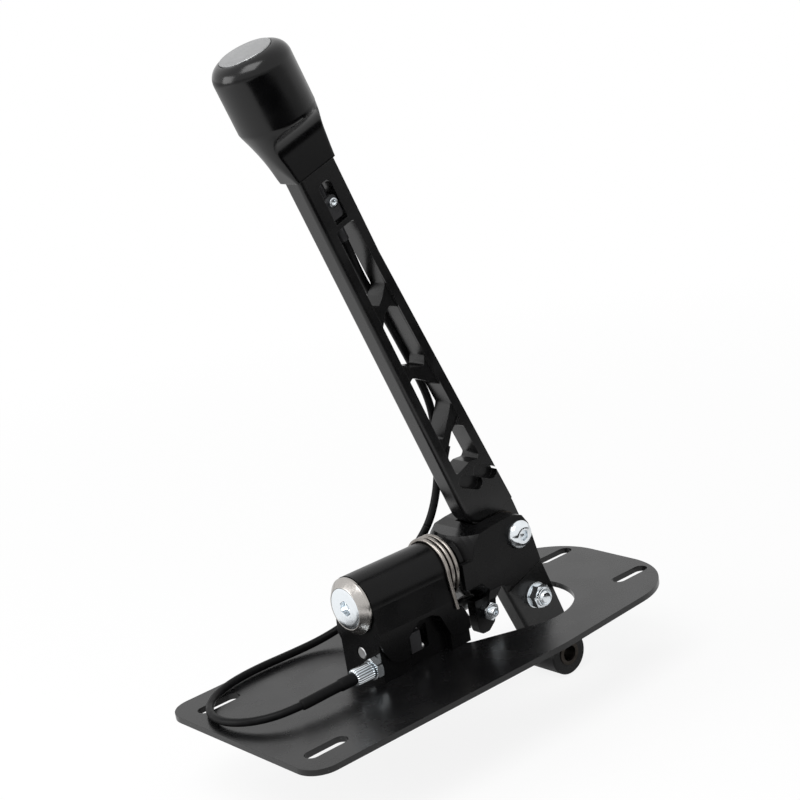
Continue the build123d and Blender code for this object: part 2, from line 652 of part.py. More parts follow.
def grip_outline(arc_a, arc_b, at):
    """The outline that one pair of milled sides leaves, closed above the grip and down at its foot."""
    low_a, high_a = (arc_a[0][0], knob_base_u - 1), (arc_a[2][0] * 2, knob_shoulder_u)
    low_b, high_b = (arc_b[0][0], knob_base_u - 1), (arc_b[2][0] * 2, knob_shoulder_u)
    top = knob_top_u + 1
    lines = Polyline(at(*arc_a[2]), at(*high_a), at(high_a[0], top), at(high_b[0], top), at(*high_b), at(*arc_b[2]))
    lines += ThreePointArc(*[at(*p) for p in arc_a])
    lines += ThreePointArc(*[at(*p) for p in arc_b])
    lines += Polyline(at(*arc_a[0]), at(*low_a), at(*low_b), at(*arc_b[0]))
    return make_face(lines.edges())


front_arc = flare(collar_f, knob_v - knob_r, knob_front_flare)
rear_arc = flare(collar_r, knob_v + knob_r, knob_rear_flare)
side_arc = flare(collar_half, knob_r, knob_side_flare)
other_side_arc = [(-y, u) for y, u in side_arc]
across = grip_outline(front_arc, rear_arc, lambda a, u: (a, -far / 4, u))
along = grip_outline(other_side_arc, side_arc, lambda a, u: (-far / 4, a, u))
grip = Pos(knob_v, 0, knob_base_u) * rod(knob_r, knob_top_u - knob_base_u)
grip = fillet(grip.edges().filter_by(GeomType.CIRCLE).sort_by(Axis.Z)[-1], knob_edge_r)
grip &= extrude(across, far / 2, dir=(0, 1, 0))
grip &= extrude(along, far / 2, dir=(1, 0, 0))
knob = grip - box(lever_front - collar_gap, lever_rear_top + collar_gap, -half_t - collar_gap,
                  half_t + collar_gap, knob_base_u - 20, lever_top_u + 1.0)
knob -= Pos(slider_v, 0, lever_top_u) * rod(slider_rod_d / 2, slider_rod_in_knob)
cap_u = knob_top_u - cap_t + cap_proud
knob -= Pos(knob_v, 0, cap_u) * rod(cap_r, cap_t * 3)
keep("knob", lev(knob))
cap = rod(cap_r, cap_t)
keep("knob_cap", lev(Pos(knob_v, 0, cap_u) * chamfer(cap.edges().sort_by(Axis.Z)[-1], 0.5)))

# Slider inside the lever, which carries the knob and takes the wire
slider = box(slider_v - slider_w / 2, slider_v + slider_w / 2, -slider_t / 2, slider_t / 2, slider_u,
             slider_u + slider_len)
slider = fillet(slider.edges().filter_by(Axis.Y), slider_round)
slider_rod_len = lever_top_u + slider_rod_in_knob - slider_u - slider_len
slider += Pos(slider_v, 0, slider_u + slider_len) * rod(slider_rod_d / 2, slider_rod_len)
screw = rod_y(slider_screw_d / 2, -slider_t / 2, slider_screw_len - slider_t / 2, slider_v, slider_screw_u)
slider -= screw
slider -= Pos(cable_v, cable_y, slider_u - 1) * rod(wire_d / 2, slider_screw_u - slider_screw_d - slider_u)
keep("knob_slider", lev(slider))
head_y = -slider_t / 2 - slider_screw_head_h
screw += rod_y(slider_screw_head_d / 2, head_y, -slider_t / 2, slider_v, slider_screw_u)
screw -= Location((slider_v, head_y + 1.2, slider_screw_u), (90, 0, 0)) * hexagon(2.5, 2.0)
keep("slider_screw", lev(screw))
wire_low = ferrule_u + 1.0
wire_high = slider_screw_u - slider_screw_d - 1.0
keep("knob_wire", lev(Pos(cable_v, cable_y, wire_low) * rod(wire_d / 2, wire_high - wire_low)))

# Ferrule that the outer cable ends in, under the web of the lever
ferrule = rod(ferrule_d / 2, ferrule_len) - Pos(0, 0, 0.5) * rod(wire_d / 2 + wire_gap, ferrule_len)
keep("cable_ferrule", lev(Pos(cable_v, cable_y, ferrule_u) * ferrule))

# Lock pin, the link that joins it to the wire, and its return spring
pin = rod_x(pin_d / 2, housing_front_x, pin_tip_x, 0, pin_z)
keep("lock_pin", chamfer(pin.edges().filter_by(GeomType.CIRCLE), 0.9))
link = box(link_x, link_x + link_len, link_near_y, link_side, pin_z - link_h / 2, pin_z + link_h / 2)
pin_wire = rod_x(wire_d / 2, stem_end_x - knob_lift, link_x + link_len + 1, adjuster_y, adjuster_z)
keep("pin_link", link - rod_x(pin_d / 2, -far, far, 0, pin_z) - pin_wire)
nipple = rod_x(nipple_r, link_x + link_len, link_x + link_len + nipple_len, adjuster_y, adjuster_z)
keep("pin_wire", pin_wire + nipple)
spring_room = link_x - cavity_front_x - pin_spring_wire
pin_coil = coil(pin_spring_wire, pin_d / 2 + pin_spring_gap, spring_room / pin_spring_turns, pin_spring_turns,
                pin_spring_sides)
keep("pin_spring", Pos(cavity_front_x + pin_spring_wire / 2, 0, pin_z) * pin_coil)

# Cable adjuster in the front face and its lock nut
adjuster_nut = nut(adjuster_nut_af, adjuster_nut_t, adjuster_stem_r)
keep("adjuster_nut", Location((nut_x, adjuster_y, adjuster_z), (0, 90, 0)) * adjuster_nut)
knurl = rod_x(adjuster_d / 2, exit_x, knurl_rear_x, adjuster_y, adjuster_z)
adjuster = chamfer(knurl.edges().filter_by(GeomType.CIRCLE), 0.5)
adjuster += rod_x(adjuster_stem_r, knurl_rear_x - 1, stem_end_x, adjuster_y, adjuster_z)
adjuster -= rod_x(wire_d / 2 + wire_gap, exit_x - 1, stem_end_x + 1, adjuster_y, adjuster_z)
keep("cable_adjuster", adjuster)

# Boot and three runs of the outer cable
boot = cable_run("cable_boot", 1, boot_end, sleeve_d)
boot += rod_x(boot_d / 2, exit_x - boot_len, exit_x, adjuster_y, adjuster_z)
keep("cable_boot", boot)
keep("cable_base_run", cable_run("cable_base_run", boot_end + 1, base_run_end, cable_d))
keep("cable_fork_run", cable_run("cable_fork_run", base_run_end + 1, fork_run_end, cable_d))
keep("cable_lever_run", cable_run("cable_lever_run", fork_run_end + 1, len(route) - 2, cable_d))

# Centring spring: wound on the barrel, with a straight leg down each side
coil_r = barrel_r + spring_bore_gap + spring_wire / 2
coil_len = spring_pitch * spring_turns
leg_side = coil_r + spring_leg_out
leg_low = z0 + spring_leg_h - shaft_z
leg_ends = [(spring_leg_along[0], -leg_side, leg_low), (coil_len + spring_leg_along[1], leg_side, leg_low)]
centring = Pos(spring_x, 0, shaft_z) * coil(spring_wire, coil_r, spring_pitch, spring_turns, spring_sides, leg_ends)
keep("centring_spring", centring)

for name, shape in parts.items():
    shape.label = name
    export_step(shape, "parts/" + name + ".step")
    print(name, round(shape.volume, 1))
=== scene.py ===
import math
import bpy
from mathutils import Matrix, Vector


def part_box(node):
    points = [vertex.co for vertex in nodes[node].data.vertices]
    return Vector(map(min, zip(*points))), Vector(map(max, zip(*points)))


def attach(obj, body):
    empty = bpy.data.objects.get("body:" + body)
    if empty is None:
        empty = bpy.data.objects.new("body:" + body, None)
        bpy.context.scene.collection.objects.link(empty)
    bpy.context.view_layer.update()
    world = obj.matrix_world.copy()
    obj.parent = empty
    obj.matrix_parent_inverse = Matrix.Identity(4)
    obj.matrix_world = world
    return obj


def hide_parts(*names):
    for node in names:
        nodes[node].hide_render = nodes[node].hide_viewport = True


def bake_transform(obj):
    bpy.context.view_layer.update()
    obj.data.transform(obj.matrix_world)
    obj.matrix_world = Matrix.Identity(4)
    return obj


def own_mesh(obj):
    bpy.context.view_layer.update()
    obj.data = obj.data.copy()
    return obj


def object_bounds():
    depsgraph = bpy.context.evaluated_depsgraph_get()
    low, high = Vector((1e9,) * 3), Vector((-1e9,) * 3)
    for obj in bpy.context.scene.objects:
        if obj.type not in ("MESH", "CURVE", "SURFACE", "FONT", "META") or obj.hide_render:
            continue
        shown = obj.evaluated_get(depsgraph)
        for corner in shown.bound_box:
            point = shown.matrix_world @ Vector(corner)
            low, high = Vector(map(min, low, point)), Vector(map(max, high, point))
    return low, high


bl_info = {
    "name": "Short shifter",
    "version": (1, 0, 0),
    "blender": (4, 5, 0),
    "location": "View3D > Sidebar > Shifter",
    "description": "Finishes, turned hardware, cable and grip for a short shifter, around its CAD frame",
    "category": "Object",
}

import bmesh
import bpy
from bpy.props import FloatProperty, FloatVectorProperty, IntProperty, PointerProperty
from mathutils import Matrix, Vector

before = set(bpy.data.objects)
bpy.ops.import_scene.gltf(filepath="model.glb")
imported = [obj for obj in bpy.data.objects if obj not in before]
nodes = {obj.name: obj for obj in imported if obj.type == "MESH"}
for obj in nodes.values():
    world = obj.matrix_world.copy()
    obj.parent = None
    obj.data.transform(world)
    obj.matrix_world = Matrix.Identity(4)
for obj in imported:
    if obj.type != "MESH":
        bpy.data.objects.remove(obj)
cad_low, cad_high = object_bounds()
MM = 0.001
LEVER_LEAN = math.radians(19.7)
CORNER_SLOPE = math.tan(math.radians(30))
NEAR_SIDE = (0.0, -1.0, 0.0)


def middle(node):
    """The middle of a CAD node's box."""
    low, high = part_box(node)
    return (low + high) / 2


# Property groups: what a user would change


def colour(name, description, value):
    return FloatVectorProperty(name=name, description=description, default=value, size=3, min=0.0, max=1.0,
                               subtype="COLOR")


def size(name, description, value):
    return FloatProperty(name=name, description=description, default=value * MM, subtype="DISTANCE",
                         unit="LENGTH", precision=4)


def share(name, description, value):
    return FloatProperty(name=name, description=description, default=value, min=0.0, max=1.0,
                         subtype="FACTOR")


def number(name, description, value, low, high):
    return IntProperty(name=name, description=description, default=value, min=low, max=high)


def lamp_power(name, description, value):
    return FloatProperty(name=name, description=description, default=value, unit="POWER")


class ShifterFinishes(bpy.types.PropertyGroup):
    plate: colour("Plate coat", "Powder coat of the base plate", (0.004, 0.004, 0.0043))
    plate_rough: share("Plate roughness", "Roughness of the powder coat", 0.26)
    anodised: colour("Black anodising", "Housing, fork and lever", (0.0025, 0.0025, 0.0027))
    anodised_rough: share("Anodising roughness", "Roughness of the anodised parts", 0.27)
    grip: colour("Grip", "Turned grip", (0.002, 0.002, 0.0022))
    grip_rough: share("Grip roughness", "Roughness of the grip", 0.2)
    cap: colour("Cap", "Inlay on top of the grip", (0.42, 0.425, 0.43))
    zinc: colour("Zinc", "Plated screws and nuts", (0.78, 0.82, 0.85))
    turned: colour("Turned steel", "End washer", (0.44, 0.42, 0.40))
    spring: colour("Spring steel", "Centring spring", (0.27, 0.25, 0.23))
    rubber: colour("Rubber", "Boot and cable jacket", (0.0045, 0.0045, 0.0048))
    bush: colour("Bush", "Bronze bushes", (0.055, 0.048, 0.042))
    dark: colour("Dark steel", "Blackened pins and slider", (0.03, 0.03, 0.032))


class ShifterHardware(bpy.types.PropertyGroup):
    ease: size("Edge ease", "Rounding of turned edges", 0.25)
    segments: number("Segments", "Facets round a turned piece", 96, 24, 256)
    thread_pitch: size("Thread pitch", "Distance between thread crests", 1.0)
    thread_depth: size("Thread depth", "Depth of the thread grooves", 0.5)
    ridges: number("Knurl ridges", "Ridges round the cable adjuster", 22, 12, 60)
    ridge_depth: size("Ridge depth", "Depth of the knurl", 0.6)


class ShifterGrip(bpy.types.PropertyGroup):
    radius: size("Grip radius", "Radius of the round part", 22.4)
    edge: size("Top edge", "Rounding of the top of the grip", 9.0)
    corner: size("Collar corner", "Rounding of the collar's corners", 1.4)
    blend: size("Mill edge", "Softness where the milled sides meet the round part", 0.7)
    side_flare: size("Side flare", "Radius of the broad sides' flare", 16.0)
    front_lean: FloatProperty(name="Front lean", description="How fast the front side leans out",
                              default=0.302)


class ShifterCable(bpy.types.PropertyGroup):
    jacket: size("Cable", "Diameter of the outer cable", 4.8)
    boot: size("Boot", "Diameter of the rubber boot", 7.4)
    sleeve: size("Sleeve", "Diameter of the boot's long sleeve", 6.3)
    sleeve_end: size("Sleeve end", "How far the sleeve reaches behind the adjuster", 36.5)


class ShifterStudio(bpy.types.PropertyGroup):
    top_power: lamp_power("Top light", "Power of the soft light overhead", 14.0)
    side_power: lamp_power("Side light", "Power of the soft light on the left", 9.0)
    floor: colour("Floor", "Pale floor", (0.93, 0.93, 0.93))
    surround: share("Surround", "Strength of the pale surround on matt surfaces", 0.55)


# Materials


def add(tree, kind, **values):
    """A node of one kind, with its settings or input values."""
    node = tree.nodes.new(kind)
    for key, value in values.items():
        if hasattr(node, key):
            setattr(node, key, value)
        else:
            node.inputs[key.replace("_", " ")].default_value = value
    return node


def blank_material(name, **values):
    """The node tree and the Principled shader of a new material, with values for the shader."""
    material = bpy.data.materials.new(name)
    material.use_nodes = True
    tree = material.node_tree
    shader = tree.nodes["Principled BSDF"]
    for key, value in values.items():
        shader.inputs[key.replace("_", " ")].default_value = value
    return tree, shader


def coordinates(tree, scale=(1.0, 1.0, 1.0), centre=(0.0, 0.0, 0.0), turn=(0.0, 0.0, 0.0)):
    """Object coordinates, centred and turned on a piece."""
    source = add(tree, "ShaderNodeTexCoord")
    shift = add(tree, "ShaderNodeVectorMath", operation="SUBTRACT")
    shift.inputs[1].default_value = centre
    mapping = add(tree, "ShaderNodeMapping", vector_type="TEXTURE", Rotation=turn,
                  Scale=[1.0 / s for s in scale])
    tree.links.new(source.outputs["Object"], shift.inputs[0])
    tree.links.new(shift.outputs["Vector"], mapping.inputs["Vector"])
    return mapping.outputs["Vector"]


def noise(tree, vector, scale, detail=3.0):
    """Fine noise, as one value."""
    node = add(tree, "ShaderNodeTexNoise", Scale=scale, Detail=detail)
    tree.links.new(vector, node.inputs["Vector"])
    return node.outputs["Fac"]


def axes(tree, vector):
    """The X, Y and Z of a vector."""
    split = add(tree, "ShaderNodeSeparateXYZ")
    tree.links.new(vector, split.inputs["Vector"])
    return split.outputs


def calc(tree, operation, *values):
    """One operation on values that are numbers or other nodes' outputs."""
    node = add(tree, "ShaderNodeMath", operation=operation)
    for socket, value in zip(node.inputs, values):
        if isinstance(value, bpy.types.NodeSocket):
            tree.links.new(value, socket)
        else:
            socket.default_value = value
    return node.outputs["Value"]


def spread(tree, value, low, high, from_low=0.3, from_high=0.7):
    """A value spread over a new range."""
    node = add(tree, "ShaderNodeMapRange", From_Min=from_low, From_Max=from_high, To_Min=low, To_Max=high)
    tree.links.new(value, node.inputs["Value"])
    return node.outputs["Result"]


def roughen(tree, shader, value, low, high):
    """A roughness that varies with a value."""
    tree.links.new(spread(tree, value, low, high), shader.inputs["Roughness"])


def bump(tree, shader, height, distance):
    """Fine relief on a shader."""
    node = add(tree, "ShaderNodeBump", Distance=distance, Strength=1.0)
    tree.links.new(height, node.inputs["Height"])
    tree.links.new(node.outputs["Normal"], shader.inputs["Normal"])
    return node


def soft_edges(tree, relief, radius):
    """Let light catch the edges of a crisp CAD mesh as it does on a real, slightly rounded edge."""
    node = add(tree, "ShaderNodeBevel", samples=4, Radius=radius)
    tree.links.new(node.outputs["Normal"], relief.inputs["Normal"])


def shade(tree, shader, value, tone, swing):
    """A base colour that varies a little with a value."""
    ramp = add(tree, "ShaderNodeValToRGB")
    for element, position, times in zip(ramp.color_ramp.elements, (0.35, 0.65), (1 - swing, 1 + swing)):
        element.position = position
        element.color = [c * times for c in tone] + [1.0]
    tree.links.new(value, ramp.inputs["Fac"])
    tree.links.new(ramp.outputs["Color"], shader.inputs["Base Color"])


def two_tone(tree, shader, value, tone, times):
    """A base colour that goes from a tone to that tone several times brighter or darker."""
    mix = add(tree, "ShaderNodeMix", data_type="RGBA")
    mix.inputs["A"].default_value = [*tone, 1.0]
    mix.inputs["B"].default_value = [c * times for c in tone] + [1.0]
    tree.links.new(value, mix.inputs["Factor"])
    tree.links.new(mix.outputs["Result"], shader.inputs["Base Color"])


def powder_coat(name, tone, rough):
    """Fine-grained powder coat with a few pale specks of dust."""
    tree, shader = blank_material(name, Specular_IOR_Level=0.36)
    place = coordinates(tree)
    roughen(tree, shader, noise(tree, place, 40.0, 4.0), rough - 0.05, rough + 0.06)
    soft_edges(tree, bump(tree, shader, noise(tree, place, 1500.0, 2.0), 0.000012), 0.0003)
    speck = add(tree, "ShaderNodeTexVoronoi", feature="F1", Scale=170.0)
    tree.links.new(place, speck.inputs["Vector"])
    dust = calc(tree, "LESS_THAN", speck.outputs["Distance"], 0.06)
    two_tone(tree, shader, dust, tone, 9.0)


def anodised(name, tone, rough, gloss, direction=(1.0, 1.0, 1.0), turn=(0.0, 0.0, 0.0)):
    """Black anodising over a milled surface, with faint tool marks along one direction."""
    tree, shader = blank_material(name, Specular_IOR_Level=gloss)
    streaks = noise(tree, coordinates(tree, scale=direction, turn=turn), 900.0)
    cloud = noise(tree, coordinates(tree), 60.0)
    roughen(tree, shader, cloud, rough - 0.04, rough + 0.05)
    soft_edges(tree, bump(tree, shader, streaks, 0.000004), 0.0004)
    shade(tree, shader, cloud, tone, 0.12)


def metal(name, tone, rough, grain=1400.0, depth=0.000003, swing=0.06):
    """Plated or bare metal with a fine uneven skin."""
    tree, shader = blank_material(name, Metallic=1.0)
    place = coordinates(tree)
    cloud = noise(tree, place, 220.0)
    roughen(tree, shader, cloud, rough - 0.05, rough + 0.07)
    bump(tree, shader, noise(tree, place, grain, 2.0), depth)
    shade(tree, shader, cloud, tone, swing)


def turned_metal(name, tone, rough, centre, pitch):
    """Lathe-turned metal, with fine rings about an axis along X."""
    tree, shader = blank_material(name, Metallic=1.0)
    place = coordinates(tree, centre=centre)
    rings = add(tree, "ShaderNodeTexWave", wave_type="RINGS", rings_direction="X", Scale=0.32 / pitch,
                Distortion=0.3, Detail=2.0)
    tree.links.new(place, rings.inputs["Vector"])
    roughen(tree, shader, noise(tree, place, 500.0), rough - 0.03, rough + 0.04)
    bump(tree, shader, rings.outputs["Fac"], 0.000003)
    shade(tree, shader, rings.outputs["Fac"], tone, 0.09)


def knurl_metal_with_painted_shade(name, tone, rough, centre, ridges):
    """Plated metal about an axis along X, with painted shade in the grooves of its knurl: its base colour is
    darker there.
    """
    tree, shader = blank_material(name, Metallic=1.0)
    place = coordinates(tree, centre=centre)
    split = axes(tree, place)
    angle = calc(tree, "ARCTAN2", split["Y"], split["Z"])
    wave = calc(tree, "COSINE", calc(tree, "MULTIPLY", angle, float(ridges)))
    # painted shade: the base colour darkens in the knurl's grooves, where shade falls
    two_tone(tree, shader, spread(tree, wave, 0.0, 1.0, -0.2, 0.9), tone, 0.16)
    roughen(tree, shader, noise(tree, place, 220.0), rough - 0.05, rough + 0.07)


def rubber(name, tone, rough):
    """Matt rubber or plastic jacket."""
    tree, shader = blank_material(name, Specular_IOR_Level=0.1)
    place = coordinates(tree)
    cloud = noise(tree, place, 300.0)
    roughen(tree, shader, cloud, rough - 0.06, rough + 0.08)
    bump(tree, shader, noise(tree, place, 2500.0, 2.0), 0.000008)
    shade(tree, shader, cloud, tone, 0.2)


def dotted_metal(name, tone, rough, centre, turn, pitch):
    """Silver disc etched with a fine even grid of dots."""
    tree, shader = blank_material(name, Metallic=1.0)
    place = coordinates(tree, centre=centre, turn=turn)
    split = axes(tree, place)
    waves = [calc(tree, "SINE", calc(tree, "MULTIPLY", split[axis], 2 * math.pi / pitch)) for axis in "XY"]
    dots = spread(tree, calc(tree, "MULTIPLY", *waves), 0.0, 1.0, 0.1, 0.5)
    two_tone(tree, shader, dots, tone, 0.45)
    roughen(tree, shader, noise(tree, place, 200.0), rough, rough + 0.1)
    bump(tree, shader, dots, -0.00002)


# Shapes


def round_at(radius, height):
    """A round step of a loft."""
    return lambda angle: (radius, height)


def hexagon_radius(angle, flats):
    """Distance from the middle of a hexagon to its side, at an angle."""
    return flats / 2 / math.cos((angle + math.pi / 6) % (math.pi / 3) - math.pi / 6)


def hexagon_at(flats, height):
    """A six-sided step of a loft."""
    return lambda angle: (hexagon_radius(angle, flats), height)


def hexagon_rim(flats, height, slope):
    """A six-sided step whose height follows the cone that a lathe leaves on the corners."""
    def step(angle):
        radius = hexagon_radius(angle, flats)
        return radius, height + slope * (radius - flats / 2)
    return step


def pull(bm, edges):
    """Extrude some edges: the new points and the new edges."""
    pulled = bmesh.ops.extrude_edge_only(bm, edges=edges)["geom"]
    return ([g for g in pulled if isinstance(g, bmesh.types.BMVert)],
            [g for g in pulled if isinstance(g, bmesh.types.BMEdge)])


def loft(count, steps, closed=True):
    """Pull a ring of points up through the steps, each of which gives a radius and a height for an angle."""
    bm = bmesh.new()
    layer = bm.verts.layers.float.new("angle")
    ring = bmesh.ops.create_circle(bm, cap_ends=False, radius=1.0, segments=count)["verts"]
    for v in ring:
        v[layer] = math.atan2(v.co.y, v.co.x)
    first = edges = list(bm.edges)
    for i, step in enumerate(steps):
        if i:
            ring, edges = pull(bm, edges)
        for v in ring:
            radius, height = step(v[layer])
            v.co = (radius * math.cos(v[layer]), radius * math.sin(v[layer]), height)
    if closed:
        bmesh.ops.edgeloop_fill(bm, edges=first)
        bmesh.ops.edgeloop_fill(bm, edges=edges)
    return bm


def pipe(count, steps):
    """A loft whose two open rims are joined, such as a ring or a nut."""
    bm = loft(count, steps, False)
    bmesh.ops.bridge_loops(bm, edges=[e for e in bm.edges if e.is_boundary])
    return bm


def wind(wire, sides, start, radius, pitch, turns, steps):
    """Wire wound about an axis along X from a point on it, with the rims of its two open ends."""
    x, _, z = start
    bm = bmesh.new()
    bmesh.ops.create_circle(bm, cap_ends=False, radius=wire, segments=sides)
    bmesh.ops.translate(bm, verts=bm.verts, vec=(x, -radius, z))
    first = list(bm.edges)
    wound = bmesh.ops.spin(bm, geom=first, cent=(x, 0.0, z), axis=(-1.0, 0.0, 0.0),
                           dvec=(pitch / steps, 0.0, 0.0), angle=2 * math.pi * turns,
                           steps=round(steps * turns), use_merge=False, use_duplicate=False)
    return bm, first, [g for g in wound["geom_last"] if isinstance(g, bmesh.types.BMEdge)]


def bent(start, corner, end, t):
    """A point, at a share t of the way, on the curve that a corner draws between two points."""
    return start * (1 - t) ** 2 + corner * 2 * t * (1 - t) + end * t ** 2


def eased(points, ease):
    """A turned outline of (radius, height) points with its corners rounded, as loft steps."""
    steps = [round_at(*points[0])]
    for before, here, after in zip(points, points[1:], points[2:]):
        here_v = Vector(here)
        back, on = Vector(before) - here_v, Vector(after) - here_v
        size_here = min(ease, back.length * 0.45, on.length * 0.45)
        start, end = here_v + back.normalized() * size_here, here_v + on.normalized() * size_here
        steps += [round_at(*bent(start, here_v, end, t)) for t in (0.0, 0.33, 0.67, 1.0)]
    steps.append(round_at(*points[-1]))
    return steps


def socket_steps(flats, top, depth):
    """The hexagonal hole in a screw head, from its edge down to a cone."""
    ease = flats * 0.03
    return [round_at(flats * 0.5774 + ease * 2, top), hexagon_at(flats + ease * 2, top),
            hexagon_at(flats, top - ease), hexagon_at(flats, top - depth),
            round_at(flats * 0.42, top - depth), round_at(flats * 0.02, top - depth - flats * 0.18)]


def hexagon_sides(flats, low, high):
    """The six sides of a nut, between the cones on its two faces."""
    return [hexagon_rim(flats, low + 0.02 * MM, CORNER_SLOPE),
            hexagon_rim(flats, high - 0.02 * MM, -CORNER_SLOPE)]


def nut_steps(flats, low, high, bore):
    """A hexagonal nut with turned-off corners and a countersunk bore, open along its bore."""
    sink = (high - low) * 0.08
    return [round_at(bore, low + sink), round_at(bore + sink, low), round_at(flats / 2 * 0.97, low),
            *hexagon_sides(flats, low, high), round_at(flats / 2 * 0.97, high), round_at(bore + sink, high),
            round_at(bore, high - sink)]


def thread_steps(radius, start, end, pitch, depth):
    """Thread crests and roots between two heights."""
    steps = []
    turns = max(1, round((end - start) / pitch))
    for i in range(turns):
        low = start + (end - start) * i / turns
        step = (end - start) / turns
        steps += [round_at(radius - depth, low), round_at(radius, low + step * 0.45),
                  round_at(radius, low + step * 0.6)]
    return steps + [round_at(radius - depth, end)]


def facing(origin, direction):
    """A placement whose Z runs along a direction from a point."""
    turn = Vector(direction).to_track_quat("Z", "Y").to_matrix().to_4x4()
    return Matrix.Translation(origin) @ turn


def on_lever(across, out, up):
    """A placement in the lever's own frame: X across it, Z up it, from the pivot, in millimetres."""
    pivot = middle("pivot_bolt")
    frame_at = Matrix.Translation((pivot.x, 0.0, pivot.z)) @ Matrix.Rotation(-LEVER_LEAN, 4, "Y")
    return frame_at @ Matrix.Translation((across * MM, out * MM, up * MM))


def show(name, mesh, finish, body, slot, *replaced):
    """Put a mesh into the scene as a piece that rides on a body in place of some CAD nodes."""
    obj = bpy.data.objects.new(name, mesh)
    bpy.context.scene.collection.objects.link(obj)
    mesh.materials.clear()
    mesh.materials.append(bpy.data.materials[finish])
    if body:
        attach(obj, body)
    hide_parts(*replaced)
    return obj


def piece(name, bm, place, finish, body, slot, *replaced, sharp=32.0):
    """Turn a bmesh outwards, place it and show it with smooth faces and crisp edges."""
    bmesh.ops.remove_doubles(bm, verts=bm.verts, dist=1e-7)
    bmesh.ops.recalc_face_normals(bm, faces=bm.faces)
    bmesh.ops.transform(bm, matrix=place, verts=bm.verts)
    for f in bm.faces:
        f.smooth = True
    for e in bm.edges:
        e.smooth = len(e.link_faces) == 2 and e.calc_face_angle(0.0) < math.radians(sharp)
    mesh = bpy.data.meshes.new(name)
    bm.to_mesh(mesh)
    bm.free()
    return show(name, mesh, finish, body, slot, *replaced)


def curve_through(points, kind):
    """A curve with one spline of a kind, and the spline."""
    curve = bpy.data.curves.new("route", "CURVE")
    curve.dimensions = "3D"
    spline = curve.splines.new(kind)
    spline.points.add(len(points) - 1)
    for target, point in zip(spline.points, points):
        target.co = (*point, 1.0)
    return curve, spline


def meshed(curve):
    """The mesh that a curve makes, in place of the curve."""
    obj = bpy.data.objects.new("route", curve)
    bpy.context.scene.collection.objects.link(obj)
    bpy.context.view_layer.update()
    mesh = bpy.data.meshes.new_from_object(obj.evaluated_get(bpy.context.evaluated_depsgraph_get()))
    bpy.data.objects.remove(obj)
    bpy.data.curves.remove(curve)
    return mesh


def spline_points(points, resolution=10):
    """Points along the NURBS spline that a route's points control."""
    curve, spline = curve_through(points, "NURBS")
    spline.order_u = 3
    spline.use_endpoint_u = True
    spline.resolution_u = resolution
    mesh = meshed(curve)
    found = [v.co.copy() for v in mesh.vertices]
    bpy.data.meshes.remove(mesh)
    return found


def tube_mesh(name, points, radii, sides=5):
    """A round tube along close-set points, with a radius at each."""
    curve, spline = curve_through(points, "POLY")
    curve.bevel_depth = 1.0
    curve.bevel_resolution = sides
    curve.use_fill_caps = True
    for target, radius in zip(spline.points, radii):
        target.radius = radius
    mesh = meshed(curve)
    bm = bmesh.new()
    bm.from_mesh(mesh)
    bmesh.ops.remove_doubles(bm, verts=bm.verts, dist=1e-7)
    bmesh.ops.recalc_face_normals(bm, faces=bm.faces)
    for f in bm.faces:
        f.smooth = len(f.verts) == 4
    bm.to_mesh(mesh)
    bm.free()
    mesh.name = name
    return mesh


# The cable's route, from the adjuster round the plate, up behind the barrel and along the lever, in metres
CABLE_ROUTE = [
    (-0.0746, -0.0125, 0.0125), (-0.092, -0.0125, 0.0125), (-0.110, -0.0116, 0.0114),
    (-0.1265, -0.0065, 0.0098), (-0.1385, 0.0055, 0.0082), (-0.1438, 0.022, 0.0069),
    (-0.1398, 0.040, 0.0063), (-0.1275, 0.054, 0.0063), (-0.109, 0.0615, 0.0063),
    (-0.087, 0.0636, 0.0063), (-0.064, 0.062, 0.0063), (-0.042, 0.0584, 0.008),
    (-0.024, 0.0522, 0.014), (-0.010, 0.0442, 0.024), (0.0, 0.0352, 0.036),
    (0.0072, 0.0264, 0.0483), (0.0122, 0.019, 0.059), (0.0163, 0.0138, 0.0682),
    (0.0209, 0.0117, 0.078), (0.0256, 0.0106, 0.091), (0.0288, 0.010, 0.1075),
    (0.0303, 0.0099, 0.1255), (0.0292, 0.0099, 0.143), (0.0229, 0.0099, 0.1615),
    (0.01126, 0.0099, 0.19028), (0.00536, 0.0099, 0.2041), (-0.00062, 0.0097, 0.21577),
    (-0.00621, 0.0076, 0.22545), (-0.01168, 0.0038, 0.23359), (-0.01620, 0.0008, 0.24206),
    (-0.0194, 0.0008, 0.2510),
]
BOOT_END_X = -0.101
FORK_END = (0.0163, 0.0685)

# The boot's outline, in millimetres from its front end
LIP_END, RIBS_END, NECK_END, RIB_PITCH = 0.8, 9.4, 10.4, 2.2


def boot_radius(along, to_end, boot, sleeve):
    """Radius of the rubber boot: a rounded lip, shallow ribs, a neck, and a sleeve with a rounded end."""
    if along < LIP_END:
        return boot / 2 - (LIP_END - along) ** 2 * 0.6 * MM
    if along < RIBS_END:
        return boot / 2 - 0.12 * MM * (0.5 - 0.5 * math.cos(along * 2 * math.pi / RIB_PITCH))
    if along < NECK_END:
        t = along - RIBS_END
        return boot / 2 + (sleeve - boot) / 2 * t * t * (3 - 2 * t)
    return sleeve / 2 - max(0.0, 1.0 - to_end) ** 2 * 0.5 * MM


# Operators


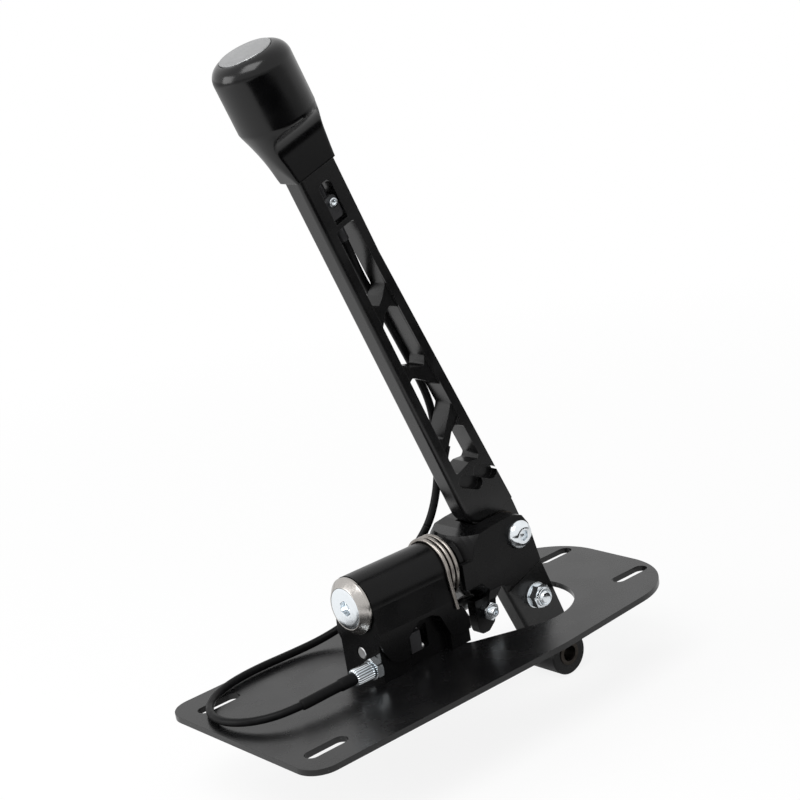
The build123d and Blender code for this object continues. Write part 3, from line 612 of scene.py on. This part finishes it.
class SHIFTER_OT_finishes(bpy.types.Operator):
    """Make every finish and give each CAD node its own"""

    bl_idname = "shifter.finishes"
    bl_label = "Finishes"

    def execute(self, context):
        s = context.scene.shifter_finishes
        washer = middle("end_washer")
        powder_coat("powder_black", s.plate, s.plate_rough)
        anodised("housing_anodised", s.anodised, s.anodised_rough, 0.16, (0.15, 1.0, 1.0))
        anodised("fork_anodised", s.anodised, s.anodised_rough, 0.16, (1.0, 0.15, 1.0))
        anodised("lever_anodised", s.anodised, s.anodised_rough, 0.42, (1.0, 1.0, 0.15),
                 (0.0, -LEVER_LEAN, 0.0))
        anodised("grip_black", s.grip, s.grip_rough, 0.32)
        dotted_metal("silver_dots", s.cap, 0.3, middle("knob_cap"), (0.0, -LEVER_LEAN, 0.0), 0.9 * MM)
        metal("zinc_plating", s.zinc, 0.13)
        # the knurl's finish has painted shade in its grooves
        knurl_metal_with_painted_shade("zinc_knurl", s.zinc, 0.2, middle("cable_adjuster"),
                      context.scene.shifter_hardware.ridges)
        turned_metal("steel_turned", s.turned, 0.24, washer, 0.35 * MM)
        turned_metal("screw_face", s.zinc, 0.16, washer, 0.5 * MM)
        metal("spring_finish", s.spring, 0.28, 900.0, 0.000006, 0.12)
        metal("wire_finish", (0.55, 0.55, 0.55), 0.35)
        metal("bush_bronze", s.bush, 0.38)
        anodised("steel_dark", s.dark, 0.3, 0.4)
        rubber("jacket_black", s.rubber, 0.42)
        rubber("boot_rubber", s.rubber, 0.58)
        wearing = {
            "powder_black": ["base_plate"],
            "housing_anodised": ["bearing_housing"],
            "fork_anodised": ["fork", "thrust_ring"],
            "lever_anodised": ["lever"],
            "grip_black": ["knob"],
            "silver_dots": ["knob_cap"],
            "zinc_plating": ["pivot_bolt", "pivot_washer", "pivot_nut", "arm_bolt", "arm_washer", "arm_nut",
                             "stop_screw", "stop_screw_nut", "slider_screw", "adjuster_nut", "cable_adjuster",
                             "cable_ferrule"],
            "steel_turned": ["end_washer"],
            "screw_face": ["end_screw"],
            "spring_finish": ["centring_spring", "pin_spring"],
            "wire_finish": ["pin_wire", "knob_wire", "lock_pin", "cross_shaft"],
            "bush_bronze": ["front_shaft_bush", "rear_shaft_bush", "pivot_bush", "thrust_washers",
                            "eye_bush"],
            "steel_dark": ["housing_screws", "knob_slider", "pin_link"],
            "jacket_black": ["cable_base_run", "cable_fork_run", "cable_lever_run"],
            "boot_rubber": ["cable_boot"],
        }
        for name, members in wearing.items():
            for node in members:
                mesh = nodes[node].data
                if not mesh.materials:
                    mesh.materials.append(None)
                for i in range(len(mesh.materials)):
                    mesh.materials[i] = bpy.data.materials[name]
        return {"FINISHED"}


class SHIFTER_OT_cable(bpy.types.Operator):
    """Lay the outer cable, with its boot and its ferrule"""

    bl_idname = "shifter.cable"
    bl_label = "Cable"

    def execute(self, context):
        s = context.scene.shifter_cable
        points = spline_points(CABLE_ROUTE)
        boot_at = min(range(len(points) // 4), key=lambda i: abs(points[i].x - BOOT_END_X))
        start = CABLE_ROUTE[0][0]
        sleeve = [p for p in spline_points(CABLE_ROUTE, 50)[:250] if p.x > start - s.sleeve_end]
        radii = [boot_radius((sleeve[0].x - p.x) / MM, (p.x - sleeve[-1].x) / MM, s.boot, s.sleeve)
                 for p in sleeve]
        boot = show("cable_boot_rubber", tube_mesh("cable_boot_rubber", sleeve, radii, 10), "boot_rubber",
                    "base", "cable_black", "cable_boot")
        split = min(range(len(points)),
                    key=lambda i: abs(points[i].x - FORK_END[0]) + abs(points[i].z - FORK_END[1]))
        low, high = points[boot_at:split + 1], points[split:]
        low_run, high_run = [
            show(name, tube_mesh(name, run, [s.jacket / 2] * len(run)), "jacket_black", None, "cable_black",
                 *replaced)
            for name, run, replaced in (("cable_low", low, ("cable_base_run", "cable_fork_run")),
                                        ("cable_high", high, ("cable_lever_run",)))]
        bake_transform(low_run)
        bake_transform(high_run)
        outer, mouth, bore, long = 3.0 * MM, 2.5 * MM, 1.2 * MM, 10.0 * MM
        ferrule = pipe(48, eased([(mouth, 0.0), (outer, 0.0), (outer, long), (bore, long), (bore, 0.6 * MM),
                                  (mouth, 0.5 * MM)], 0.25 * MM))
        seat = on_lever(-4.4, 0.8, 210.5)
        piece("cable_ferrule_dark", ferrule, seat, "steel_dark", "lever", "dark_steel", "cable_ferrule")
        return {"FINISHED"}


class SHIFTER_OT_end_cap(bpy.types.Operator):
    """Turn the bevelled end washer and its countersunk screw"""

    bl_idname = "shifter.end_cap"
    bl_label = "End washer and screw"

    def execute(self, context):
        s = context.scene.shifter_hardware
        low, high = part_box("end_washer")
        axis = middle("end_washer")
        place = facing((high.x, axis.y, axis.z), (-1.0, 0.0, 0.0))
        radius, thick = (high.z - low.z) / 2, high.x - low.x
        head, shank, ease = 12.3 * MM, 5.0 * MM, s.ease
        washer = pipe(s.segments, eased([
            (shank + 0.1 * MM, 0.0), (radius, 0.0), (radius, 1.6 * MM), (13.0 * MM, thick),
            (head + 0.08 * MM, thick), (head + 0.06 * MM, thick - 0.6 * MM),
            (shank + 0.1 * MM, 0.9 * MM)], ease))
        piece("end_washer_turned", washer, place, "steel_turned", "fork", "turned_steel", "end_washer")
        face = thick + 0.02 * MM
        steps = eased([(shank - 0.8 * MM, -22.4 * MM), (shank, -21.6 * MM), (shank, 0.85 * MM),
                       (head, thick - 0.6 * MM), (head, thick), (head - 3.0 * MM, face),
                       (6.5 * MM, face)], ease)
        screw = loft(s.segments, steps + socket_steps(8.0 * MM, face, 4.0 * MM))
        piece("end_screw_turned", screw, place, "screw_face", "fork", "bright_zinc", "end_screw")
        return {"FINISHED"}


class SHIFTER_OT_pivot(bpy.types.Operator):
    """Make the pivot bolt with its domed head, its washer and its nut"""

    bl_idname = "shifter.pivot"
    bl_label = "Pivot bolt"

    def execute(self, context):
        s = context.scene.shifter_hardware
        axis = middle("pivot_bolt")
        low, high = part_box("pivot_bolt")
        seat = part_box("fork")[0].y
        head = (high.z - low.z) / 2
        end = -(high.y - seat)
        nut_low, nut_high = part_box("pivot_nut")
        place = facing((axis.x, seat, axis.z), NEAR_SIDE)
        shank, head_top = 5.0 * MM, 5.5 * MM
        steps = [round_at(3.9 * MM, end), round_at(4.7 * MM, end + 0.7 * MM)]
        steps += thread_steps(shank, end + 0.8 * MM, end + 14.0 * MM, s.thread_pitch * 1.5, s.thread_depth)
        steps += [round_at(shank, end + 14.2 * MM), round_at(shank, 0.0), round_at(head - 0.15 * MM, 0.0),
                  round_at(head, 0.15 * MM), round_at(head, 1.0 * MM)]
        # the head's dome, from its edge to the rim of its flat top
        edge, corner, rim = (Vector(at) for at in ((head, 1.0 * MM), (8.35 * MM, 4.0 * MM),
                                                   (4.95 * MM, head_top)))
        steps += [round_at(*bent(edge, corner, rim, i / 10)) for i in range(1, 11)]
        bolt = loft(s.segments, steps + socket_steps(6.0 * MM, head_top, 3.0 * MM))
        piece("pivot_bolt_zinc", bolt, place, "zinc_plating", "fork", "bright_zinc", "pivot_bolt")
        nut = pipe(s.segments, nut_steps(17.0 * MM, -(nut_high.y - seat), -(nut_low.y - seat), 4.9 * MM))
        piece("pivot_nut_zinc", nut, place, "zinc_plating", "fork", "bright_zinc", "pivot_nut")
        washer_low, washer_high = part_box("pivot_washer")
        back, front = -(washer_high.y - seat), -(washer_low.y - seat)
        hole, rim = 5.2 * MM, 10.0 * MM
        washer = pipe(s.segments, eased([(hole, back), (rim, back), (rim, front), (hole, front)], 0.2 * MM))
        piece("pivot_washer_zinc", washer, place, "zinc_plating", "fork", "bright_zinc", "pivot_washer")
        return {"FINISHED"}


class SHIFTER_OT_arm_bolt(bpy.types.Operator):
    """Make the bolt through the lower arm, with its washer and its lock nut"""

    bl_idname = "shifter.arm_bolt"
    bl_label = "Arm bolt"

    def execute(self, context):
        s = context.scene.shifter_hardware
        place = on_lever(0.3, 0.0, -51.3) @ facing((0, 0, 0), NEAR_SIDE)
        face, shank, flats = 7.2 * MM, 4.0 * MM, 13.0 * MM
        steps = [round_at(5.9 * MM, -face - 5.3 * MM), hexagon_rim(flats, -face - 5.28 * MM, CORNER_SLOPE),
                 hexagon_at(flats, -face - 0.1 * MM), round_at(6.2 * MM, -face), round_at(shank, -face),
                 round_at(shank, face + 1.5 * MM)]
        steps += thread_steps(shank, face + 1.6 * MM, face + 9.3 * MM, s.thread_pitch * 1.25, s.thread_depth)
        steps += [round_at(3.1 * MM, face + 10.2 * MM)]
        bolt = loft(s.segments, steps)
        piece("arm_bolt_zinc", bolt, place, "zinc_plating", "lever", "bright_zinc", "arm_bolt")
        low, top = face + 1.6 * MM, face + 7.2 * MM
        hole, rim = 4.2 * MM, 8.0 * MM
        washer = pipe(s.segments, eased([(hole, face), (rim, face), (rim, low), (hole, low)], 0.25 * MM))
        piece("arm_washer_zinc", washer, place, "zinc_plating", "lever", "bright_zinc", "arm_washer")
        bore = 4.05 * MM
        steps = [round_at(bore, low + 0.3 * MM), round_at(4.4 * MM, low), round_at(6.3 * MM, low),
                 *hexagon_sides(flats, low, top), round_at(6.2 * MM, top)]
        steps += eased([(5.9 * MM, top), (5.7 * MM, top + 1.8 * MM), (4.9 * MM, top + 1.8 * MM),
                        (4.7 * MM, top + 1.3 * MM), (bore, top + 1.1 * MM)], 0.35 * MM)
        nut = pipe(s.segments, steps)
        piece("arm_nut_zinc", nut, place, "zinc_plating", "lever", "bright_zinc", "arm_nut")
        return {"FINISHED"}


class SHIFTER_OT_stop_screw(bpy.types.Operator):
    """Make the threaded stop screw in the fork's lug, and its nut"""

    bl_idname = "shifter.stop_screw"
    bl_label = "Stop screw"

    def execute(self, context):
        s = context.scene.shifter_hardware
        low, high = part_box("stop_screw")
        nut_low, nut_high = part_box("stop_screw_nut")
        axis = middle("stop_screw")
        place = facing((axis.x, nut_high.y, axis.z), NEAR_SIDE)
        tip, tail, radius = -(high.y - nut_high.y), nut_high.y - low.y, (high.z - low.z) / 2
        steps = [round_at(radius - 0.9 * MM, tip), round_at(radius - 0.4 * MM, tip + 0.5 * MM)]
        steps += thread_steps(radius, tip + 0.6 * MM, tail - 0.5 * MM, s.thread_pitch, s.thread_depth * 0.8)
        steps += [round_at(radius - 0.6 * MM, tail)]
        screw = loft(s.segments // 2, steps + socket_steps(3.0 * MM, tail, 2.0 * MM))
        piece("stop_screw_zinc", screw, place, "zinc_plating", "fork", "bright_zinc", "stop_screw")
        nut = pipe(s.segments, nut_steps(10.0 * MM, 0.0, nut_high.y - nut_low.y, radius - 0.1 * MM))
        piece("stop_nut_zinc", nut, place, "zinc_plating", "fork", "bright_zinc", "stop_screw_nut")
        return {"FINISHED"}


class SHIFTER_OT_adjuster(bpy.types.Operator):
    """Knurl the cable adjuster and make its lock nut"""

    bl_idname = "shifter.adjuster"
    bl_label = "Cable adjuster"

    def execute(self, context):
        s = context.scene.shifter_hardware
        low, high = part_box("cable_adjuster")
        nut_low, nut_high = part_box("adjuster_nut")
        axis = middle("cable_adjuster")
        radius = (high.z - low.z) / 2
        place = facing((low.x, axis.y, axis.z), (1.0, 0.0, 0.0))
        barrel, stem = nut_low.x - 0.6 * MM - low.x, high.x - low.x

        def ridged(height, depth):
            """A step of the knurl, so much below the barrel's radius."""
            return lambda a: (
                radius - depth - s.ridge_depth * (1 - abs(math.sin(a * s.ridges / 2))) ** 1.5, height)

        bore, thread = 1.2 * MM, 3.0 * MM
        steps = [round_at(bore, stem - 0.1 * MM), round_at(bore, 1.0 * MM), round_at(2.5 * MM, 0.5 * MM),
                 round_at(2.6 * MM, 0.0), round_at(radius - 1.2 * MM, 0.0),
                 round_at(radius - 0.85 * MM, 0.12 * MM), ridged(0.75 * MM, 0.1 * MM), ridged(1.0 * MM, 0.0),
                 ridged(barrel - 0.8 * MM, 0.0), ridged(barrel - 0.55 * MM, 0.1 * MM),
                 round_at(radius - 0.9 * MM, barrel - 0.1 * MM), round_at(radius - 1.2 * MM, barrel),
                 round_at(thread, barrel)]
        steps += thread_steps(thread, barrel + 0.1 * MM, stem - 0.4 * MM, s.thread_pitch,
                              s.thread_depth * 0.8)
        knurl = pipe(s.ridges * 8, steps + [round_at(2.4 * MM, stem)])
        # this finish has painted shade in the knurl's grooves
        piece("adjuster_knurled", knurl, place, "zinc_knurl", "base", "bright_zinc", "cable_adjuster")
        nut = pipe(s.segments, nut_steps(12.0 * MM, nut_low.x - low.x, nut_high.x - low.x, 2.9 * MM))
        piece("adjuster_nut_zinc", nut, place, "zinc_plating", "base", "bright_zinc", "adjuster_nut")
        return {"FINISHED"}


class SHIFTER_OT_slider_screw(bpy.types.Operator):
    """Make the small socket screw in the knob's slider"""

    bl_idname = "shifter.slider_screw"
    bl_label = "Slider screw"

    def execute(self, context):
        s = context.scene.shifter_hardware
        place = on_lever(-4.9, -5.5, 235.4) @ facing((0, 0, 0), NEAR_SIDE)
        shank, head, top = 1.5 * MM, 2.7 * MM, 2.2 * MM
        steps = eased([(1.2 * MM, -4.5 * MM), (shank, -4.2 * MM), (shank, 0.0), (head, 0.0), (head, top),
                       (1.9 * MM, top)], 0.25 * MM)
        screw = loft(s.segments // 2, steps + socket_steps(2.5 * MM, top, 1.2 * MM))
        piece("slider_screw_zinc", screw, place, "zinc_plating", "knob", "bright_zinc", "slider_screw")
        return {"FINISHED"}


class SHIFTER_OT_spring(bpy.types.Operator):
    """Wind the centring spring on the barrel, with its two legs"""

    bl_idname = "shifter.spring"
    bl_label = "Centring spring"

    def execute(self, context):
        low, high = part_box("centring_spring")
        wire, slack = 1.25 * MM, 0.15 * MM
        axis_z = middle("end_washer").z
        radius = high.z - axis_z - wire - slack
        pitch, turns, lean = 3.5 * MM, 2.5, 2.15 * MM
        bm, first, last = wind(wire, 16, (low.x + wire, 0.0, axis_z), radius, pitch, turns, 64)
        drop = axis_z - low.z
        for edges, along, out in ((first, 1.2 * MM, -lean), (last, 0.3 * MM, lean)):
            for t in (0.08, 0.92):
                verts, edges = pull(bm, edges)
                bend = 0.35 if t < 0.5 else 1.0
                bmesh.ops.translate(bm, verts=verts, vec=(along * t * bend, out * t * bend, -drop * t))
            bmesh.ops.edgeloop_fill(bm, edges=edges)
        piece("centring_spring_wound", bm, Matrix.Identity(4), "spring_finish", "base",
              "spring_steel", "centring_spring")
        return {"FINISHED"}


class SHIFTER_OT_pin_spring(bpy.types.Operator):
    """Wind the lock pin's return spring and give it a mesh of its own"""

    bl_idname = "shifter.pin_spring"
    bl_label = "Pin spring"

    def execute(self, context):
        low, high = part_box("pin_spring")
        axis = middle("lock_pin")
        wire, turns = 0.5 * MM, 3
        radius = high.z - axis.z - wire
        room = high.x - low.x - 2 * wire
        bm, first, last = wind(wire, 12, (low.x + wire, 0.0, axis.z), radius, room / turns, turns, 48)
        for rim in (first, last):
            bmesh.ops.edgeloop_fill(bm, edges=rim)
        spring = piece("pin_spring_wound", bm, Matrix.Identity(4), "spring_finish", "base",
                       "spring_steel", "pin_spring")
        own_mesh(spring)
        return {"FINISHED"}


class SHIFTER_OT_grip(bpy.types.Operator):
    """Turn the grip, mill its four sides down to the collar, and set its cap"""

    bl_idname = "shifter.grip"
    bl_label = "Grip"

    def execute(self, context):
        s = context.scene.shifter_grip
        foot, shoulder, top = 256.5 * MM, 291.0 * MM, 329.5 * MM
        hollow = (10.9 * MM, 16.5 * MM, 7.5 * MM)
        hollow_top, clear = 284.0 * MM, 0.05
        front_foot, rear_foot, side_foot = 12.0 * MM, 17.6 * MM, 8.6 * MM
        front_round_foot, rear_round_foot = 14.75 * MM, 19.3 * MM

        def side_wall(height):
            """Half the width between the two broad milled sides, which flare out in an arc."""
            radius, end = s.side_flare, shoulder - 1.5 * MM
            turn = math.acos(1 - (s.radius - side_foot) / radius)
            base = end - radius * math.sin(turn)
            if height <= base:
                return side_foot
            if height >= end:
                return s.radius + (height - end) * 6
            return side_foot + radius - math.sqrt(radius ** 2 - (height - base) ** 2)

        def soft_max(values, blend):
            """The largest of some values, rounded off where two are close."""
            values = sorted(values, reverse=True)
            near = max(blend - (values[0] - values[1]), 0.0) / blend
            return values[0] + near * near * blend / 4

        def reach(angle, front, rear, side, front_round, rear_round, corner, blend):
            """Distance from the axis to the outline at an angle."""
            across, along = math.cos(angle), abs(math.sin(angle))
            half, centre = (front + rear) / 2, (rear - front) / 2
            low, high = 0.0, 0.06
            for _ in range(22):  # leaves far less than a micrometre of 60 mm
                here = (low + high) / 2
                x, y = here * across, here * along
                over_x, over_y = abs(x - centre) - (half - corner), y - (side - corner)
                block = math.hypot(max(over_x, 0), max(over_y, 0)) + min(max(over_x, over_y), 0) - corner
                turned = here - (front_round if x < 0 else rear_round)
                if soft_max([block, turned, here - s.radius], blend) < 0:
                    low = here
                else:
                    high = here
            return low

        def grown(start, power, height):
            """A reach that grows from the foot to the grip's own radius at the shoulder, and on past it."""
            up = (height - foot) / (shoulder - foot)
            return start + (s.radius - start) * up ** power + max(height - shoulder, 0)

        def skin(height, trim=0.0):
            """The outline of the collar and the shoulder at a height."""
            front = front_foot + s.front_lean * (height - foot) - trim
            rear = grown(rear_foot, 1.3, height) - trim
            front_round = grown(front_round_foot, 1.65, height) - trim
            rear_round = grown(rear_round_foot, 1.3, height) - trim
            side = side_wall(height) - trim
            return lambda a: (reach(a, front, rear, side, front_round, rear_round, s.corner, s.blend), height)

        def cavity(height, spare=0.0):
            """The outline of the square hollow from below at a height."""
            front, rear, side = (half + spare for half in hollow)
            return lambda a: (reach(a, front, rear, side, clear, clear, 0.6 * MM, 0.01 * MM), height)

        steps = [cavity(hollow_top), cavity(foot + 0.3 * MM), cavity(foot, 0.15 * MM)]
        steps += [skin(foot, 0.25 * MM), skin(foot + 0.08 * MM, 0.08 * MM), skin(foot + 0.25 * MM)]
        steps += [skin(foot + lift * MM) for lift in range(1, 36)]
        steps += [skin(shoulder + lift * MM) for lift in (1.0, 1.8, 3.0)]
        steps += [round_at(s.radius, shoulder + lift * MM) for lift in (5.0, 15.0, 26.0)]
        rounding = top - s.edge
        for i in range(0, 17):
            turn = math.radians(78.3 * i / 16)
            steps.append(round_at(s.radius - s.edge + s.edge * math.cos(turn),
                                  rounding + s.edge * math.sin(turn)))
        recess, inlay, seat = 15.15 * MM, 14.9 * MM, top - 1.8 * MM
        steps += [round_at(recess, top - 0.25 * MM), round_at(recess, seat)]
        place = on_lever(-8.4, 0.0, 0.0)
        piece("grip_turned", loft(192, steps), place, "grip_black", "knob", "knob_black", "knob", sharp=60.0)
        cap = loft(128, eased([(inlay, seat), (inlay, top + 0.45 * MM), (5.0 * MM, top + 0.6 * MM),
                               (1.0 * MM, top + 0.6 * MM)], 0.3 * MM))
        piece("cap_inlay", cap, place, "silver_dots", "knob", "cap_silver", "knob_cap")
        return {"FINISHED"}


def flat_sheet(name, material, sides, centre):
    """A flat sheet, centred on a point."""
    bm = bmesh.new()
    bmesh.ops.create_grid(bm, x_segments=1, y_segments=1, size=0.5)
    bmesh.ops.scale(bm, vec=(*sides, 1.0), verts=bm.verts)
    bmesh.ops.translate(bm, vec=centre, verts=bm.verts)
    mesh = bpy.data.meshes.new(name)
    bm.to_mesh(mesh)
    bm.free()
    mesh.materials.append(bpy.data.materials[material])
    obj = bpy.data.objects.new(name, mesh)
    bpy.context.scene.collection.objects.link(obj)
    return obj


def floor_finish(name, tone):
    """Pale floor that glows for the camera alone, a little more with distance, so that it has no horizon."""
    tree, shader = blank_material(name, Base_Color=[*tone, 1.0], Roughness=0.9, Specular_IOR_Level=0.1)
    glow = add(tree, "ShaderNodeEmission")
    path = add(tree, "ShaderNodeLightPath")
    far = add(tree, "ShaderNodeVectorMath", operation="LENGTH")
    tree.links.new(coordinates(tree), far.inputs[0])
    fade = spread(tree, far.outputs["Value"], 0.86, 1.0, 0.25, 1.1)
    blend = add(tree, "ShaderNodeMixShader")
    tree.links.new(calc(tree, "MULTIPLY", path.outputs["Is Camera Ray"], fade), blend.inputs["Fac"])
    tree.links.new(shader.outputs["BSDF"], blend.inputs[1])
    tree.links.new(glow.outputs["Emission"], blend.inputs[2])
    tree.links.new(blend.outputs["Shader"], tree.nodes["Material Output"].inputs["Surface"])


def pale_surround(matt_share):
    """White world, dimmer for the light that falls on matt surfaces."""
    world = bpy.data.worlds.new("surround")
    world.use_nodes = True
    tree = world.node_tree
    shown = tree.nodes["Background"]
    shown.inputs["Color"].default_value = (1.0, 1.0, 1.0, 1.0)
    rays = add(tree, "ShaderNodeLightPath").outputs
    seen = calc(tree, "MAXIMUM", rays["Is Camera Ray"], rays["Is Glossy Ray"])
    seen = calc(tree, "MAXIMUM", seen, rays["Is Transmission Ray"])
    tree.links.new(spread(tree, seen, matt_share, 1.0, 0.0, 1.0), shown.inputs["Strength"])
    return world


# The camera fitted to the photo: where it stands, the way back from what it looks at, roll, lens and sensor
CAMERA_PLACE = (-0.6245, -0.80014, 0.43425)
CAMERA_BACK = (-0.593, -0.7595, 0.2673)
CAMERA_ROLL = math.radians(-9.41)
CAMERA_LENS = 83.25
CAMERA_SENSOR = 36.0
LIGHTS_AIM = (0.0, 0.0, 0.15)


def camera_stand():
    """The camera's placement."""
    back = Vector(CAMERA_BACK).normalized()
    right = (-back).cross(Vector((0.0, 0.0, 1.0))).normalized()
    up = right.cross(-back)
    turned_right = right * math.cos(CAMERA_ROLL) + up * math.sin(CAMERA_ROLL)
    turned_up = up * math.cos(CAMERA_ROLL) - right * math.sin(CAMERA_ROLL)
    stand = Matrix((turned_right, turned_up, back)).transposed().to_4x4()
    stand.translation = CAMERA_PLACE
    return stand


class SHIFTER_OT_stage(bpy.types.Operator):
    """Set up the floor, the soft lights and the camera"""

    bl_idname = "shifter.stage"
    bl_label = "Stage"

    def execute(self, context):
        s = context.scene.shifter_studio
        scene = context.scene
        floor_finish("floor_pale", s.floor)
        floor = flat_sheet("floor", "floor_pale", (80.0, 80.0), (0.0, 0.0, cad_low.z - 0.0005))
        blank_material("card_dark", Base_Color=(0.0, 0.0, 0.0, 1.0), Specular_IOR_Level=0.0)
        board = flat_sheet("card_front", "card_dark", (2.6, 1.5), (0.45, -1.09, cad_low.z - 0.0004))
        board.visible_camera = board.visible_diffuse = False
        board.visible_shadow = board.visible_transmission = False
        scene.world = pale_surround(s.surround)
        for name, power, wide, place in (("top_light", s.top_power, 0.9, (-0.75, -0.35, 1.45)),
                                         ("side_light", s.side_power, 0.8, (-1.3, 0.65, 0.6))):
            light = bpy.data.lights.new(name, "AREA")
            light.energy = power
            light.size = wide
            lamp = bpy.data.objects.new(name, light)
            lamp.location = place
            lamp.rotation_euler = (Vector(place) - Vector(LIGHTS_AIM)).to_track_quat("Z", "Y").to_euler()
            scene.collection.objects.link(lamp)
        camera = bpy.data.cameras.new("camera")
        camera.sensor_width = CAMERA_SENSOR
        camera.lens = CAMERA_LENS
        viewer = bpy.data.objects.new("camera", camera)
        viewer.matrix_world = camera_stand()
        scene.collection.objects.link(viewer)
        scene.camera = viewer
        scene.view_settings.view_transform = "Standard"
        return {"FINISHED"}


class SHIFTER_PT_panel(bpy.types.Panel):
    """The shifter's pieces, in the order in which they are made"""

    bl_label = "Short shifter"
    bl_idname = "SHIFTER_PT_panel"
    bl_space_type = "VIEW_3D"
    bl_region_type = "UI"
    bl_category = "Shifter"

    def draw(self, context):
        for operator in OPERATORS:
            self.layout.operator(operator.bl_idname)


GROUPS = {
    "shifter_finishes": ShifterFinishes,
    "shifter_hardware": ShifterHardware,
    "shifter_grip": ShifterGrip,
    "shifter_cable": ShifterCable,
    "shifter_studio": ShifterStudio,
}
OPERATORS = [
    SHIFTER_OT_finishes, SHIFTER_OT_cable, SHIFTER_OT_adjuster, SHIFTER_OT_spring, SHIFTER_OT_pin_spring,
    SHIFTER_OT_end_cap, SHIFTER_OT_pivot, SHIFTER_OT_stop_screw, SHIFTER_OT_arm_bolt, SHIFTER_OT_slider_screw,
    SHIFTER_OT_grip, SHIFTER_OT_stage,
]


def register():
    for name, group in GROUPS.items():
        bpy.utils.register_class(group)
        setattr(bpy.types.Scene, name, PointerProperty(type=group))
    for cls in OPERATORS + [SHIFTER_PT_panel]:
        bpy.utils.register_class(cls)


def unregister():
    for cls in reversed(OPERATORS + [SHIFTER_PT_panel]):
        bpy.utils.unregister_class(cls)
    for name, group in reversed(GROUPS.items()):
        delattr(bpy.types.Scene, name)
        bpy.utils.unregister_class(group)


def main():
    register()
    bpy.ops.shifter.finishes()
    bpy.ops.shifter.cable()
    bpy.ops.shifter.adjuster()
    bpy.ops.shifter.spring()
    bpy.ops.shifter.pin_spring()
    bpy.ops.shifter.end_cap()
    bpy.ops.shifter.pivot()
    bpy.ops.shifter.stop_screw()
    bpy.ops.shifter.arm_bolt()
    bpy.ops.shifter.slider_screw()
    bpy.ops.shifter.grip()
    bpy.ops.shifter.stage()


if __name__ == "__main__":
    main()
